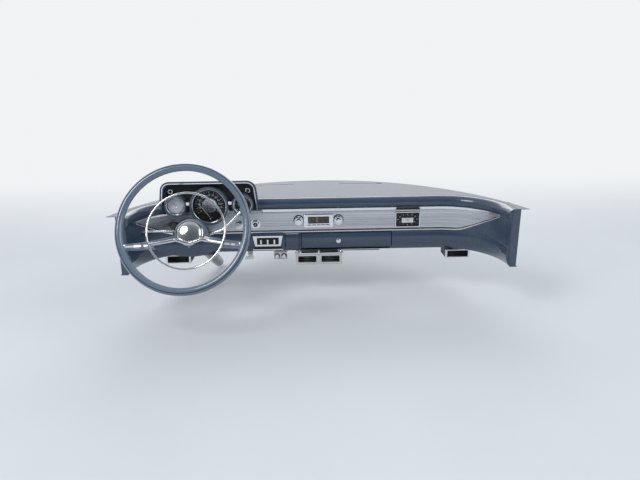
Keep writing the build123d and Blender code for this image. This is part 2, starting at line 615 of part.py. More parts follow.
# Speedometer and the two side pods: deep rims through the panel, their works behind
RIM_PROUD = 14.0       # the rims stand this far behind the hood's edge
RIM_Y = FACE_Y - HOOD_PROUD - RIM_PROUD
with BuildPart() as speedometer:
    add(dial_can(BINNACLE_X, DIAL_DOWN, DIAL_R, DIAL_DEEP, 24))
    revolve(axis=Axis((BINNACLE_X, 0, SHELF_Z - DIAL_DOWN), (0, 1, 0)))
speedometer.part.label = "speedometer"
export_step(speedometer.part, "parts/speedometer.step")
with BuildPart() as fuel_pod:
    add(dial_can(BINNACLE_X - POD_X, POD_DOWN, POD_R, POD_DEEP + 8, 20))
    revolve(axis=Axis((BINNACLE_X - POD_X, 0, SHELF_Z - POD_DOWN), (0, 1, 0)))
fuel_pod.part.label = "fuel_pod"
export_step(fuel_pod.part, "parts/fuel_pod.step")
with BuildPart() as heat_pod:
    add(dial_can(BINNACLE_X + POD_X, POD_DOWN, POD_R, POD_DEEP + 8, 20))
    revolve(axis=Axis((BINNACLE_X + POD_X, 0, SHELF_Z - POD_DOWN), (0, 1, 0)))
heat_pod.part.label = "heat_pod"
export_step(heat_pod.part, "parts/heat_pod.step")

# Turn signal lamps in the panel's upper corners
with BuildPart() as signal_lamps:
    with BuildSketch(Plane.XZ.offset(-PANEL_Y)):
        with Locations((BINNACLE_X - LAMP_X, SHELF_Z + LAMP_UP), (BINNACLE_X + LAMP_X, SHELF_Z + LAMP_UP)):
            Circle(LAMP_R)
    extrude(amount=6)
    fillet(signal_lamps.faces().sort_by(Axis.Y)[:2].edges(), 1.5)
signal_lamps.part.label = "signal_lamps"
export_step(signal_lamps.part, "parts/signal_lamps.step")

# Radio: case behind the face, front frame with a recessed dial, push buttons, knobs
FACE_OUT = INSERT_AT + INSERT_T     # front of the insert
with BuildPart() as radio:
    with BuildSketch(on_face(0, RADIO_DOWN, INSERT_AT)):
        RectangleRounded(RADIO_W, RADIO_H, 6)
    extrude(amount=7)
    fillet(radio.faces().sort_by(Axis.Y)[0].edges(), 2)
    with BuildSketch(on_face(0, RADIO_DOWN, INSERT_AT + 7)):
        with Locations((0, 4)):
            RectangleRounded(RADIO_W - 34, RADIO_H - 26, 2)
    extrude(amount=-5, mode=Mode.SUBTRACT)
    with BuildSketch(on_face(0, RADIO_DOWN, INSERT_AT)):
        Rectangle(RADIO_W - 11, RADIO_H - 11)
    extrude(amount=-RADIO_DEEP)
    with BuildSketch(on_face(0, RADIO_DOWN, -40)):
        Rectangle(RADIO_W + 50, RADIO_H - 11)
    extrude(amount=-RADIO_DEEP + 40)
radio.part.label = "radio"
export_step(radio.part, "parts/radio.step")
with BuildPart() as radio_buttons:
    with BuildSketch(on_face(0, RADIO_DOWN, INSERT_AT + 7)):
        with Locations((0, 8 - RADIO_H / 2)):
            with GridLocations(18, 0, 5, 1):
                RectangleRounded(15, 7, 1.5)
    extrude(amount=7)
radio_buttons.part.label = "radio_buttons"
export_step(radio_buttons.part, "parts/radio_buttons.step")
with BuildPart() as radio_knobs:
    for x in (-RADIO_KNOB_X, RADIO_KNOB_X):
        with BuildSketch(on_face(x, RADIO_DOWN, FACE_OUT + SEAM)):
            Circle(KNOB_R)
        extrude(amount=KNOB_SKIRT)
        with BuildSketch(on_face(x, RADIO_DOWN, FACE_OUT + SEAM)):
            Circle(KNOB_R * 0.62)
        extrude(amount=KNOB_H, taper=4)
        with BuildSketch(on_face(x, RADIO_DOWN, FACE_OUT + SEAM)):
            Circle(SPINDLE_R)
        extrude(amount=-33)
radio_knobs.part.label = "radio_knobs"
export_step(radio_knobs.part, "parts/radio_knobs.step")

# Clock: frame on the insert, dial set back, case behind
with BuildPart() as clock:
    with BuildSketch(on_face(CLOCK_X, CLOCK_DOWN, INSERT_AT)):
        RectangleRounded(CLOCK_W, CLOCK_H, 4)
    extrude(amount=6)
    with BuildSketch(on_face(CLOCK_X, CLOCK_DOWN, INSERT_AT + 6)):
        RectangleRounded(CLOCK_W - 8, CLOCK_H - 8, 3)
    extrude(amount=-4, mode=Mode.SUBTRACT)
    with BuildSketch(on_face(CLOCK_X, CLOCK_DOWN, INSERT_AT)):
        Rectangle(CLOCK_W - 11, CLOCK_H - 11)
    extrude(amount=-46)
clock.part.label = "clock"
export_step(clock.part, "parts/clock.step")

# Ignition switch and headlight switch
with BuildPart() as ignition_switch:
    for radius, out in ((SWITCH_R, -34), (19, 4), (15, 10), (10, 18)):
        with BuildSketch(on_face(IGNITION_X, IGNITION_DOWN, FACE_OUT + SEAM)):
            Circle(radius)
        extrude(amount=out)
ignition_switch.part.label = "ignition_switch"
export_step(ignition_switch.part, "parts/ignition_switch.step")
with BuildPart() as wiper_switch:
    for radius, out in ((SWITCH_R, -34), (17, 3), (6, 12), (12, 20)):
        with BuildSketch(on_face(WIPER_X, WIPER_DOWN, FACE_OUT + SEAM)):
            Circle(radius)
        extrude(amount=out)
    with BuildSketch(on_face(WIPER_X, WIPER_DOWN, FACE_OUT + 3 + SEAM)):
        Circle(20)
        Circle(6, mode=Mode.SUBTRACT)
    extrude(amount=7, mode=Mode.SUBTRACT)
wiper_switch.part.label = "wiper_switch"
export_step(wiper_switch.part, "parts/wiper_switch.step")
LIGHT_Y = FACE_Y - (END_R - sqrt(END_R ** 2 - (-LIGHT_X + SWITCH_R + 8 - STRAIGHT) ** 2))
with BuildPart() as light_switch:
    for radius, out in ((SWITCH_R, -60), (14, 3), (6, 12), (14.5, 26)):
        with BuildSketch(on_face(LIGHT_X, LIGHT_DOWN, FACE_Y - LIGHT_Y + FACE_OUT + SEAM)):
            Circle(radius)
        extrude(amount=out)
    with BuildSketch(on_face(LIGHT_X, LIGHT_DOWN, FACE_Y - LIGHT_Y + FACE_OUT + 3 + SEAM)):
        Circle(20)
        Circle(6, mode=Mode.SUBTRACT)
    extrude(amount=9, mode=Mode.SUBTRACT)
light_switch.part.label = "light_switch"
export_step(light_switch.part, "parts/light_switch.step")

# Heater control: plated frame on the lower panel, with three levers
with BuildPart() as heater_control:
    with BuildSketch(on_face(HEATER_X, HEATER_DOWN, -20)):
        with BuildLine():
            Polyline((-HEATER_W / 2, HEATER_H / 2), (HEATER_W / 2, HEATER_H / 2),
                     (HEATER_W / 2 - 9, -HEATER_H / 2), (-HEATER_W / 2 + 9, -HEATER_H / 2), close=True)
        make_face()
    extrude(amount=20 + HEATER_OUT)
    with BuildSketch(on_face(HEATER_X, HEATER_DOWN, HEATER_OUT)):
        RectangleRounded(HEATER_W - 32, HEATER_H - 14, 3)
    extrude(amount=-5, mode=Mode.SUBTRACT)
    add(panel_bulk, mode=Mode.SUBTRACT)
    with BuildSketch(on_face(HEATER_X, HEATER_DOWN, HEATER_OUT - 5)):
        Rectangle(HEATER_W - 34 - 2 * SEAM, HEATER_H - 18 - 2 * SEAM)
    extrude(amount=-60)
heater_control.part.label = "heater_control"
export_step(heater_control.part, "parts/heater_control.step")
with BuildPart() as heater_levers:
    with BuildSketch(on_face(HEATER_X, HEATER_DOWN, HEATER_OUT - 5)):
        with GridLocations(26, 0, 3, 1):
            RectangleRounded(6, 18, 2)
    extrude(amount=16)
heater_levers.part.label = "heater_levers"
export_step(heater_levers.part, "parts/heater_levers.step")

# Glove box: a liner behind its door, with ears that hold the door's hinge pins
HINGE_Y = FACE_Y + HINGE_IN
HINGE_Z = SHELF_Z - DOOR_END + FOOT_R
HINGE = Axis((0, HINGE_Y, HINGE_Z), (1, 0, 0))
BOX_TOP = SHELF_Z - DOOR_TOP + GAP
BOX_END = SHELF_Z - DOOR_END - 1
BOX_W = GLOVE_RIGHT - GLOVE_LEFT + 2 * GAP
BOX_X = (GLOVE_LEFT + GLOVE_RIGHT) / 2
with BuildPart() as glove_box:
    with BuildSketch(Plane.YZ.offset(BOX_X)):
        with BuildLine():
            Polyline((FACE_Y - 12, BOX_END), (FACE_Y - 12, BOX_TOP),
                     (FACE_Y + BOX_AT + GLOVE_DEEP, BOX_TOP), (FACE_Y + BOX_AT + GLOVE_DEEP, BOX_END + 14),
                     (FACE_Y + BOX_AT + GLOVE_DEEP - 30, BOX_END), close=True)
        make_face()
    extrude(amount=BOX_W / 2 + BOX_T, both=True)
    with BuildSketch(Plane.YZ.offset(BOX_X)):
        with BuildLine():
            Polyline((FACE_Y + BOX_AT, BOX_END + BOX_T), (FACE_Y + BOX_AT, BOX_END - 1),
                     (FACE_Y - 13, BOX_END - 1), (FACE_Y - 13, BOX_TOP - BOX_T),
                     (FACE_Y + BOX_AT + GLOVE_DEEP - BOX_T, BOX_TOP - BOX_T),
                     (FACE_Y + BOX_AT + GLOVE_DEEP - BOX_T, BOX_END + 14 + BOX_T),
                     (FACE_Y + BOX_AT + GLOVE_DEEP - 30, BOX_END + BOX_T), close=True)
        make_face()
    extrude(amount=BOX_W / 2, both=True, mode=Mode.SUBTRACT)
    for x in (BOX_X - BOX_W / 2 - BOX_T, BOX_X + BOX_W / 2):
        with BuildSketch(Plane.YZ.offset(x)):
            with Locations((HINGE_Y, HINGE_Z)):
                Circle(EAR_R)
            with Locations(((HINGE_Y + FACE_Y + BOX_AT) / 2, HINGE_Z)):
                Rectangle(FACE_Y + BOX_AT - HINGE_Y, 2 * EAR_R)
        extrude(amount=BOX_T)
        with BuildSketch(Plane.YZ.offset(x)):
            with Locations((HINGE_Y, HINGE_Z)):
                Circle(PIN_R + RUN_FIT)
        extrude(amount=BOX_T, mode=Mode.SUBTRACT)
    add(behind.part, mode=Mode.INTERSECT)
glove_box.part.label = "glove_box"
export_step(glove_box.part, "parts/glove_box.step")

# Glove door: flush with the lower panel, with a folded edge and a rounded foot
with BuildPart() as glove_door:
    with BuildSketch(ON_YZ.offset(-GLOVE_LEFT)) as door_section:
        add(solid_section.sketch)
        with Locations((0, -(DOOR_TOP + DOOR_END - FOOT_R) / 2)):
            Rectangle(4 * DOOR_T, DOOR_END - FOOT_R - DOOR_TOP, mode=Mode.INTERSECT)
        with Locations((-HINGE_IN - 100, -DOOR_TOP - 20)):
            Rectangle(200, 200, mode=Mode.SUBTRACT)
        with Locations((-HINGE_IN, -DOOR_END + FOOT_R)):
            Circle(FOOT_R)
    extrude(amount=-(GLOVE_RIGHT - GLOVE_LEFT))
    with BuildSketch(ON_YZ.offset(-GLOVE_LEFT - 8)):
        with Locations((-HINGE_IN - 10, -(DOOR_TOP + DOOR_END - FOOT_R) / 2)):
            Rectangle(2 * HINGE_IN + 20, DOOR_END - DOOR_TOP - FOOT_R - 16)
    extrude(amount=-(GLOVE_RIGHT - GLOVE_LEFT - 16), mode=Mode.SUBTRACT)
    with BuildSketch(Plane.YZ.offset(BOX_X)):
        with Locations((HINGE_Y, HINGE_Z)):
            Circle(PIN_R)
    extrude(amount=BOX_W / 2 + BOX_T + 1, both=True)
glove_door.part.label = "glove_door"
export_step(glove_door.part, "parts/glove_door.step")
with BuildPart() as glove_knob:
    with BuildSketch(on_face(GLOVE_KNOB_X, GLOVE_KNOB_DOWN, PANEL_OUT + SHEET / 2 + SEAM)):
        Circle(9)
    extrude(amount=4)
    with BuildSketch(on_face(GLOVE_KNOB_X, GLOVE_KNOB_DOWN, PANEL_OUT + SHEET / 2 + SEAM + 4)):
        Circle(6)
    extrude(amount=7)
    fillet(glove_knob.faces().sort_by(Axis.Y)[0].edges(), 2)
glove_knob.part.label = "glove_knob"
export_step(glove_knob.part, "parts/glove_knob.step")

# Ashtray: a drawer with a flush front, in a sleeve that hangs behind the panel
ASH_W = ASH_RIGHT - ASH_LEFT
ASH_X = (ASH_LEFT + ASH_RIGHT) / 2
ASH_Z = SHELF_Z - (DOOR_TOP + DOOR_END) / 2
TRAY_W = ASH_W - 8
TRAY_H = DOOR_END - DOOR_TOP - 16
with BuildPart() as ashtray:
    with BuildSketch(ON_YZ.offset(-ASH_LEFT)):
        add(solid_section.sketch)
        with Locations((0, -(DOOR_TOP + DOOR_END) / 2)):
            Rectangle(4 * DOOR_T, DOOR_END - DOOR_TOP, mode=Mode.INTERSECT)
        with Locations((-9 - 100, -DOOR_TOP)):
            Rectangle(200, 200, mode=Mode.SUBTRACT)
    extrude(amount=-ASH_W)
    with BuildSketch(Plane.XZ.offset(-FACE_Y - 8)):
        with Locations((ASH_X, ASH_Z)):
            Rectangle(TRAY_W, TRAY_H)
    extrude(amount=-ASH_DEEP + 8)
    with BuildSketch(Plane.XZ.offset(-FACE_Y - 12)):
        with Locations((ASH_X, ASH_Z + ASH_WALL)):
            Rectangle(TRAY_W - 2 * ASH_WALL, TRAY_H)
    extrude(amount=-ASH_DEEP + 12 + ASH_WALL, mode=Mode.SUBTRACT)
ashtray.part.label = "ashtray"
export_step(ashtray.part, "parts/ashtray.step")
with BuildPart() as ashtray_sleeve:
    with BuildSketch(Plane.XZ.offset(-FACE_Y - BOX_AT)):
        with Locations((ASH_X, ASH_Z)):
            Rectangle(TRAY_W + 2 * SLIDE_FIT + 2 * ASH_WALL, TRAY_H + 2 * SLIDE_FIT + 2 * ASH_WALL)
            Rectangle(TRAY_W + 2 * SLIDE_FIT, TRAY_H + 2 * SLIDE_FIT, mode=Mode.SUBTRACT)
    extrude(amount=-ASH_DEEP + BOX_AT - 4)
    with BuildSketch(Plane.XZ.offset(-FACE_Y + 14)):
        with Locations((ASH_X - GAP, ASH_Z)):
            Rectangle(ASH_W + 4 * GAP, DOOR_END - DOOR_TOP + 2 * GAP - 2)
        with Locations((ASH_X, ASH_Z)):
            Rectangle(ASH_W + 2 * SEAM, DOOR_END - DOOR_TOP + 2 * GAP, mode=Mode.SUBTRACT)
    extrude(amount=-BOX_AT - 14)
    with BuildSketch(Plane.XZ.offset(-FACE_Y - BOX_AT)):
        with Locations((ASH_X - GAP, ASH_Z)):
            Rectangle(ASH_W + 4 * GAP, DOOR_END - DOOR_TOP + 2 * GAP - 2)
        with Locations((ASH_X, ASH_Z)):
            Rectangle(TRAY_W + 2 * SLIDE_FIT, TRAY_H + 2 * SLIDE_FIT, mode=Mode.SUBTRACT)
    extrude(amount=-ASH_WALL)
    with BuildSketch(Plane.XZ.offset(-FACE_Y - ASH_DEEP - 4)):
        with Locations((ASH_X, ASH_Z)):
            Rectangle(TRAY_W + 2 * SLIDE_FIT + 2 * ASH_WALL, TRAY_H + 2 * SLIDE_FIT + 2 * ASH_WALL)
    extrude(amount=-ASH_WALL)
    add(behind.part, mode=Mode.INTERSECT)
ashtray_sleeve.part.label = "ashtray_sleeve"
export_step(ashtray_sleeve.part, "parts/ashtray_sleeve.step")

# Column jacket: a tube with the steering shaft's bearings at both ends
TOP_AT = HUB_END + 4
with BuildPart() as column_jacket:
    with BuildSketch(on_column(COLUMN_L - NECK_L)):
        Circle(JACKET_R)
        Circle(JACKET_R - JACKET_T, mode=Mode.SUBTRACT)
    extrude(amount=COLUMN_L - NECK_L - TOP_AT)
    with BuildSketch(on_column(COLUMN_L)):
        Circle(NECK_R)
        Circle(NECK_R - JACKET_T, mode=Mode.SUBTRACT)
    extrude(amount=NECK_L)
    for down in (COLUMN_L - NECK_L + BEARING_H / 2, TOP_AT + BEARING_H):
        with BuildSketch(on_column(down)):
            Circle(NECK_R - JACKET_T / 4)
            Circle(SHAFT_R + RUN_FIT, mode=Mode.SUBTRACT)
        extrude(amount=BEARING_H)
    with BuildSketch(on_column(SHIFT_AT + SHIFT_H / 2 + 12 + SEAM)):
        Circle(JACKET_R + 6)
        Circle(JACKET_R, mode=Mode.SUBTRACT)
    extrude(amount=12)
column_jacket.part.label = "column_jacket"
export_step(column_jacket.part, "parts/column_jacket.step")

# Turn signal housing, just under the wheel, and its lever on the left
with BuildPart() as signal_housing:
    with BuildSketch(ALONG_COLUMN):
        with BuildLine():
            Polyline((0, -TOP_AT), (HOUSING_R, -TOP_AT), (HOUSING_R, -TOP_AT - 10),
                     (COLLAR_R, SHIFT_H / 2 + SEAM - SHIFT_AT), (0, SHIFT_H / 2 + SEAM - SHIFT_AT), close=True)
        make_face()
    revolve(axis=COLUMN)
    with BuildSketch(on_column(SHIFT_AT)):
        Circle(JACKET_R)
    extrude(amount=SHIFT_AT, mode=Mode.SUBTRACT)
signal_housing.part.label = "signal_housing"
export_step(signal_housing.part, "parts/signal_housing.step")
SIGNAL_AT = TOP_AT + 8
with BuildPart() as signal_lever:
    root = WHEEL_PLANE.from_local_coords((0, SIGNAL_UP, -SIGNAL_AT))
    lever = Vector(-1, 0, 0)
    with BuildSketch(Plane(origin=root + lever * JACKET_R, x_dir=(0, 1, 0), z_dir=lever)):
        Circle(3.5)
    extrude(amount=SIGNAL_L - JACKET_R)
    with BuildSketch(Plane(origin=root + lever * SIGNAL_L, x_dir=(0, 1, 0), z_dir=lever)):
        Circle(6)
    extrude(amount=24, taper=6)
    fillet(signal_lever.faces().sort_by(Axis.X)[0].edges(), 2)
    add(signal_housing.part, mode=Mode.SUBTRACT)
signal_lever.part.label = "signal_lever"
export_step(signal_lever.part, "parts/signal_lever.step")

# Shift collar with its lever, which turns round the column
with BuildPart() as shift_lever:
    with BuildSketch(on_column(SHIFT_AT + SHIFT_H / 2)):
        Circle(COLLAR_R)
    extrude(amount=SHIFT_H)
    root = WHEEL_AT - UP_COLUMN * SHIFT_AT
    bend, tip = (on_column(SHIFT_AT).from_local_coords(p) for p in (SHIFT_BEND, SHIFT_TIP))
    with BuildLine() as lever_line:
        FilletPolyline(root, bend, tip, radius=50)
    with BuildSketch(Plane(origin=root, z_dir=bend - root)):
        Circle(4.5)
    sweep(path=lever_line.line)
    with Locations(tip):
        Sphere(13)
    with BuildSketch(on_column(SHIFT_AT + SHIFT_H)):
        Circle(JACKET_R + RUN_FIT)
    extrude(amount=2 * SHIFT_H, mode=Mode.SUBTRACT)
shift_lever.part.label = "shift_lever"
export_step(shift_lever.part, "parts/shift_lever.step")

# Steering shaft, from the hub down out of the jacket
with BuildPart() as steering_shaft:
    with BuildSketch(on_column(COLUMN_L + SHAFT_END - TIP_L)):
        Circle(SHAFT_R)
    extrude(amount=COLUMN_L + SHAFT_END - TIP_L - HUB_END)
    with BuildSketch(on_column(COLUMN_L + SHAFT_END)):
        Circle(TIP_R)
    extrude(amount=TIP_L)
    chamfer(steering_shaft.faces().sort_by(COLUMN)[0].edges(), 1)
steering_shaft.part.label = "steering_shaft"
export_step(steering_shaft.part, "parts/steering_shaft.step")

# Steering wheel: rim, two low spokes and a bowl-shaped hub, moulded in one
with BuildPart() as steering_wheel:
    with BuildSketch(ALONG_COLUMN):
        with Locations((RIM_R, 0)):
            Circle(RIM_T)
    revolve(axis=COLUMN)
    with BuildSketch(ALONG_COLUMN):
        with BuildLine():
            Polyline((0, -HUB_TOP), (CAP_R + 2, -HUB_TOP), (CAP_R + 8, -HUB_TOP - 6),
                     (HUB_R, -HUB_END + 8), (HOUSING_R, -HUB_END), (0, -HUB_END), close=True)
        make_face()
    revolve(axis=COLUMN)
    # each spoke: half width across, how far below the middle, depth, width, thickness
    for side in (-1, 1):
        for across, below, deep, width, thick in SPOKE:
            at = WHEEL_PLANE.from_local_coords((side * across, -below, -deep))
            with BuildSketch(Plane(origin=at, x_dir=WHEEL_PLANE.y_dir, z_dir=(side, 0, 0))):
                RectangleRounded(width, thick, thick / 3)
        loft()
steering_wheel.part.label = "steering_wheel"
export_step(steering_wheel.part, "parts/steering_wheel.step")

# Horn ring: a full circle of wire on two short feet that stand on the spokes
with BuildPart() as horn_ring:
    with BuildSketch(ALONG_COLUMN):
        with Locations((RING_R, -RING_DOWN)):
            Circle(RING_T)
    revolve(axis=COLUMN)
    for side in (-1, 1):
        lean = 16 if side > 0 else 164
        foot = WHEEL_PLANE.from_local_coords(
            (RING_R * cos(radians(lean)), -RING_R * sin(radians(lean)), -RING_DOWN))
        with BuildSketch(Plane(origin=foot, x_dir=(1, 0, 0), z_dir=-UP_COLUMN)):
            Circle(4)
        extrude(amount=RING_FOOT)
    add(steering_wheel.part, mode=Mode.SUBTRACT)
horn_ring.part.label = "horn_ring"
export_step(horn_ring.part, "parts/horn_ring.step")

# Horn cap: plated ring with a domed centre
with BuildPart() as horn_cap:
    with BuildSketch(ALONG_COLUMN):
        with BuildLine():
            Line((0, -HUB_TOP), (CAP_R, -HUB_TOP))
            Line((CAP_R, -HUB_TOP), (CAP_R, 7 - HUB_TOP))
            Line((CAP_R, 7 - HUB_TOP), (CAP_R - 5, 10 - HUB_TOP))
            Line((CAP_R - 5, 10 - HUB_TOP), (CAP_R - 8, 6 - HUB_TOP))
            TangentArc((0, CAP_H - HUB_TOP), (CAP_R - 8, 6 - HUB_TOP), tangent=(1, 0))
            Line((0, CAP_H - HUB_TOP), (0, -HUB_TOP))
        make_face()
    revolve(axis=COLUMN)
horn_cap.part.label = "horn_cap"
export_step(horn_cap.part, "parts/horn_cap.step")

# Plated bars along the spokes, joined in a bow under the horn cap
with BuildPart() as spoke_bars:
    for side in (-1, 1):
        for across, below, deep, width, thick in SPOKE:
            at = WHEEL_PLANE.from_local_coords((side * across, -below, -deep + thick / 2 + 1))
            with BuildSketch(Plane(origin=at, x_dir=WHEEL_PLANE.y_dir, z_dir=(side, 0, 0))):
                RectangleRounded(width * 0.32, 5, 1.5)
        loft()
    with BuildSketch(on_column(HUB_TOP)):
        with Locations((0, -BOW_DOWN)):
            RectangleRounded(BOW_W, BOW_H, BOW_H / 3)
    extrude(amount=6)
    add(steering_wheel.part, mode=Mode.SUBTRACT)
    add(horn_cap.part, mode=Mode.SUBTRACT)
    add(horn_ring.part, mode=Mode.SUBTRACT)
spoke_bars.part.label = "spoke_bars"
export_step(spoke_bars.part, "parts/spoke_bars.step")

# Bracket that hangs the column from the flange under the lower panel
BRACKET_AT = (WHEEL_BACK + BRACKET_Y) / cos(radians(TILT))
with BuildPart() as column_bracket:
    with BuildSketch(on_column(BRACKET_AT + BRACKET_W / 2)):
        Circle(JACKET_R + BRACKET_T)
        with Locations((0, JACKET_R)):
            Rectangle(2 * JACKET_R + 48, 4 * JACKET_R + 2 * BRACKET_T)
    extrude(amount=BRACKET_W)
    with BuildSketch(on_column(COLUMN_L)):
        Circle(JACKET_R)
    extrude(amount=COLUMN_L, mode=Mode.SUBTRACT)
    with BuildSketch(Plane.XY.offset(SHELF_Z - PANEL_END - SHEET / 2)):
        with Locations((WHEEL_X, FACE_Y)):
            Rectangle(300, 300)
    extrude(amount=200, mode=Mode.SUBTRACT)
column_bracket.part.label = "column_bracket"
export_step(column_bracket.part, "parts/column_bracket.step")


# Under-dash air outlets: a double one in the middle and one at each side
with BuildPart() as air_centre:
    with BuildSketch(Plane.XZ.offset(-AIR_Y)):
        with Locations((0, AIR_TOP - AIR_H / 2)):
            RectangleRounded(AIR_W, AIR_H, 3)
    extrude(amount=-AIR_DEEP)
    with BuildSketch(Plane.XZ.offset(-AIR_Y)):
        with Locations((0, AIR_TOP - AIR_H / 2)):
            with GridLocations(AIR_W / 2, 0, 2, 1):
                Rectangle(AIR_W / 2 - AIR_BAR, AIR_H - 2 * AIR_LIP)
    extrude(amount=-AIR_DEEP + 2, mode=Mode.SUBTRACT)
    with BuildSketch(Plane.XZ.offset(-AIR_Y - AIR_DEEP)):
        with Locations((0, AIR_TOP - AIR_H / 2)):
            with GridLocations(AIR_W / 2, 0, 2, 1):
                Circle(HOSE_R)
    extrude(amount=-HOSE_L)
    with BuildSketch(Plane.XZ.offset(-AIR_Y - AIR_DEEP + 3)):
        with Locations((0, AIR_TOP - AIR_H / 2)):
            with GridLocations(AIR_W / 2, 0, 2, 1):
                Circle(HOSE_R - 1.5)
    extrude(amount=-HOSE_L - 3, mode=Mode.SUBTRACT)
    with BuildSketch(Plane.XY.offset(AIR_TOP)):
        with Locations((0, AIR_Y + 16)):
            with GridLocations(AIR_W - 20, 0, 2, 1):
                Rectangle(14, 16)
    extrude(amount=SHELF_Z - PANEL_END - SHEET / 2 - AIR_TOP)
air_centre.part.label = "air_centre"
export_step(air_centre.part, "parts/air_centre.step")
with BuildPart() as air_centre_vanes:
    with BuildSketch(Plane.XZ.offset(-AIR_Y - 3)):
        with Locations((0, AIR_TOP - AIR_H / 2)):
            with GridLocations(AIR_W / 2, VANE_PITCH, 2, 3):
                Rectangle(AIR_W / 2 - AIR_BAR, VANE_T)
    extrude(amount=-VANE_DEEP)
air_centre_vanes.part.label = "air_centre_vanes"
export_step(air_centre_vanes.part, "parts/air_centre_vanes.step")

# Side outlets, on hangers under the flange
for side, name in ((-1, "air_left"), (1, "air_right")):
    with BuildPart() as air_side:
        with BuildSketch(Plane.XZ.offset(-SIDE_AIR_Y)):
            with Locations((side * SIDE_AIR_X, SIDE_AIR_TOP - SIDE_AIR_H / 2)):
                RectangleRounded(SIDE_AIR_W, SIDE_AIR_H, 3)
        extrude(amount=-SIDE_AIR_DEEP)
        with BuildSketch(Plane.XZ.offset(-SIDE_AIR_Y)):
            with Locations((side * SIDE_AIR_X, SIDE_AIR_TOP - SIDE_AIR_H / 2)):
                Rectangle(SIDE_AIR_W - 16, SIDE_AIR_H - 14)
        extrude(amount=-SIDE_AIR_DEEP + 3, mode=Mode.SUBTRACT)
        with BuildSketch(Plane.XZ.offset(-SIDE_AIR_Y - SIDE_AIR_DEEP)):
            with Locations((side * SIDE_AIR_X, SIDE_AIR_TOP - SIDE_AIR_H / 2)):
                Circle(HOSE_R)
        extrude(amount=-HOSE_L)
        with BuildSketch(Plane.XZ.offset(-SIDE_AIR_Y - SIDE_AIR_DEEP + 4)):
            with Locations((side * SIDE_AIR_X, SIDE_AIR_TOP - SIDE_AIR_H / 2)):
                Circle(HOSE_R - 1.5)
        extrude(amount=-HOSE_L - 4, mode=Mode.SUBTRACT)
        with BuildSketch(Plane.XY.offset(SIDE_AIR_TOP)):
            with Locations((side * (SIDE_AIR_X - 30), SIDE_AIR_Y + 10)):
                Rectangle(16, 14)
        extrude(amount=SHELF_Z - PANEL_END - SHEET / 2 - SIDE_AIR_TOP)
    air_side.part.label = name
    export_step(air_side.part, f"parts/{name}.step")

# Air conditioning control: a small box with two knobs, on a tab under the flange
with BuildPart() as air_control:
    with BuildSketch(Plane.XZ.offset(-AIR_Y)):
        with Locations((CONTROL_X, CONTROL_Z)):
            RectangleRounded(CONTROL_W, CONTROL_H, 3)
    extrude(amount=-40)
    with BuildSketch(Plane.XY.offset(CONTROL_Z)):
        with Locations((CONTROL_X, AIR_Y + 14)):
            Rectangle(CONTROL_W - 16, 20)
    extrude(amount=SHELF_Z - PANEL_END - SHEET / 2 - CONTROL_Z)
air_control.part.label = "air_control"
export_step(air_control.part, "parts/air_control.step")
with BuildPart() as air_knobs:
    with BuildSketch(Plane.XZ.offset(-AIR_Y + SEAM)):
        with Locations((CONTROL_X, CONTROL_Z)):
            with GridLocations(CONTROL_W / 2, 0, 2, 1):
                Circle(8)
    extrude(amount=12, taper=5)
air_knobs.part.label = "air_knobs"
export_step(air_knobs.part, "parts/air_knobs.step")

# Brake release: a pull rod through a bracket under the flange, with a T handle
with BuildPart() as brake_pull:
    with BuildSketch(Plane.XZ.offset(-AIR_Y + PULL_OUT)):
        with Locations((PULL_X, PULL_Z)):
            Circle(4)
    extrude(amount=-PULL_OUT - 60)
    with BuildSketch(Plane.XZ.offset(-AIR_Y + PULL_OUT)):
        with Locations((PULL_X, PULL_Z)):
            SlotOverall(36, 11)
    extrude(amount=10)
    with BuildSketch(Plane.XZ.offset(-AIR_Y - 8)):
        with Locations((PULL_X, PULL_Z)):
            Circle(10)
        with Locations((PULL_X, (PULL_Z + SHELF_Z - PANEL_END - SHEET / 2) / 2)):
            Rectangle(20, SHELF_Z - PANEL_END - SHEET / 2 - PULL_Z)
    extrude(amount=-3)
brake_pull.part.label = "brake_pull"
export_step(brake_pull.part, "parts/brake_pull.step")
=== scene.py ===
"""Looks of a 1950s dashboard with its column and wheel. Metres, in the CAD model's frame."""

import math

import bmesh
import bpy
from mathutils import Matrix, Vector


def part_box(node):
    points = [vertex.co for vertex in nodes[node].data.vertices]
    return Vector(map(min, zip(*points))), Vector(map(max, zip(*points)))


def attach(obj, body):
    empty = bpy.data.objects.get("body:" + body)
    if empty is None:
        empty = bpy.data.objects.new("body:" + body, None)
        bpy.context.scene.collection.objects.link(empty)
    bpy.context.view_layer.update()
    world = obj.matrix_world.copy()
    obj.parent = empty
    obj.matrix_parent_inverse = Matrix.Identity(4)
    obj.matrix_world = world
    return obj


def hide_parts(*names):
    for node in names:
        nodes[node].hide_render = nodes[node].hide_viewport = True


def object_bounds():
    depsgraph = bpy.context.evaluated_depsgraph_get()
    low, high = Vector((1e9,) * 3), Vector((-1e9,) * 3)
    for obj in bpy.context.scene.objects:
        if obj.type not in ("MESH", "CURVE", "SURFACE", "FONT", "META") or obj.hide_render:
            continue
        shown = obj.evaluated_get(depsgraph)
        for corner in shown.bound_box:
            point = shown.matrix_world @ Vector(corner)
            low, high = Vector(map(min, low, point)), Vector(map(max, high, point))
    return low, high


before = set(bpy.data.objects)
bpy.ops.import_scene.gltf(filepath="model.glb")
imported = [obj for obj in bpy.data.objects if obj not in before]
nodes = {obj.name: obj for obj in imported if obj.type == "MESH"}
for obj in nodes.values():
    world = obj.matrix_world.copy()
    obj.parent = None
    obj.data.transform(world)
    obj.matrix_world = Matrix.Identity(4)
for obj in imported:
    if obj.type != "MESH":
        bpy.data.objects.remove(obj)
cad_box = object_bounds()

# ---- Dash panel ----
# One steel pressing with a shelf welded on top, primed and sprayed in slate blue enamel.
# It is screwed to the body along its front edge and at both ends.


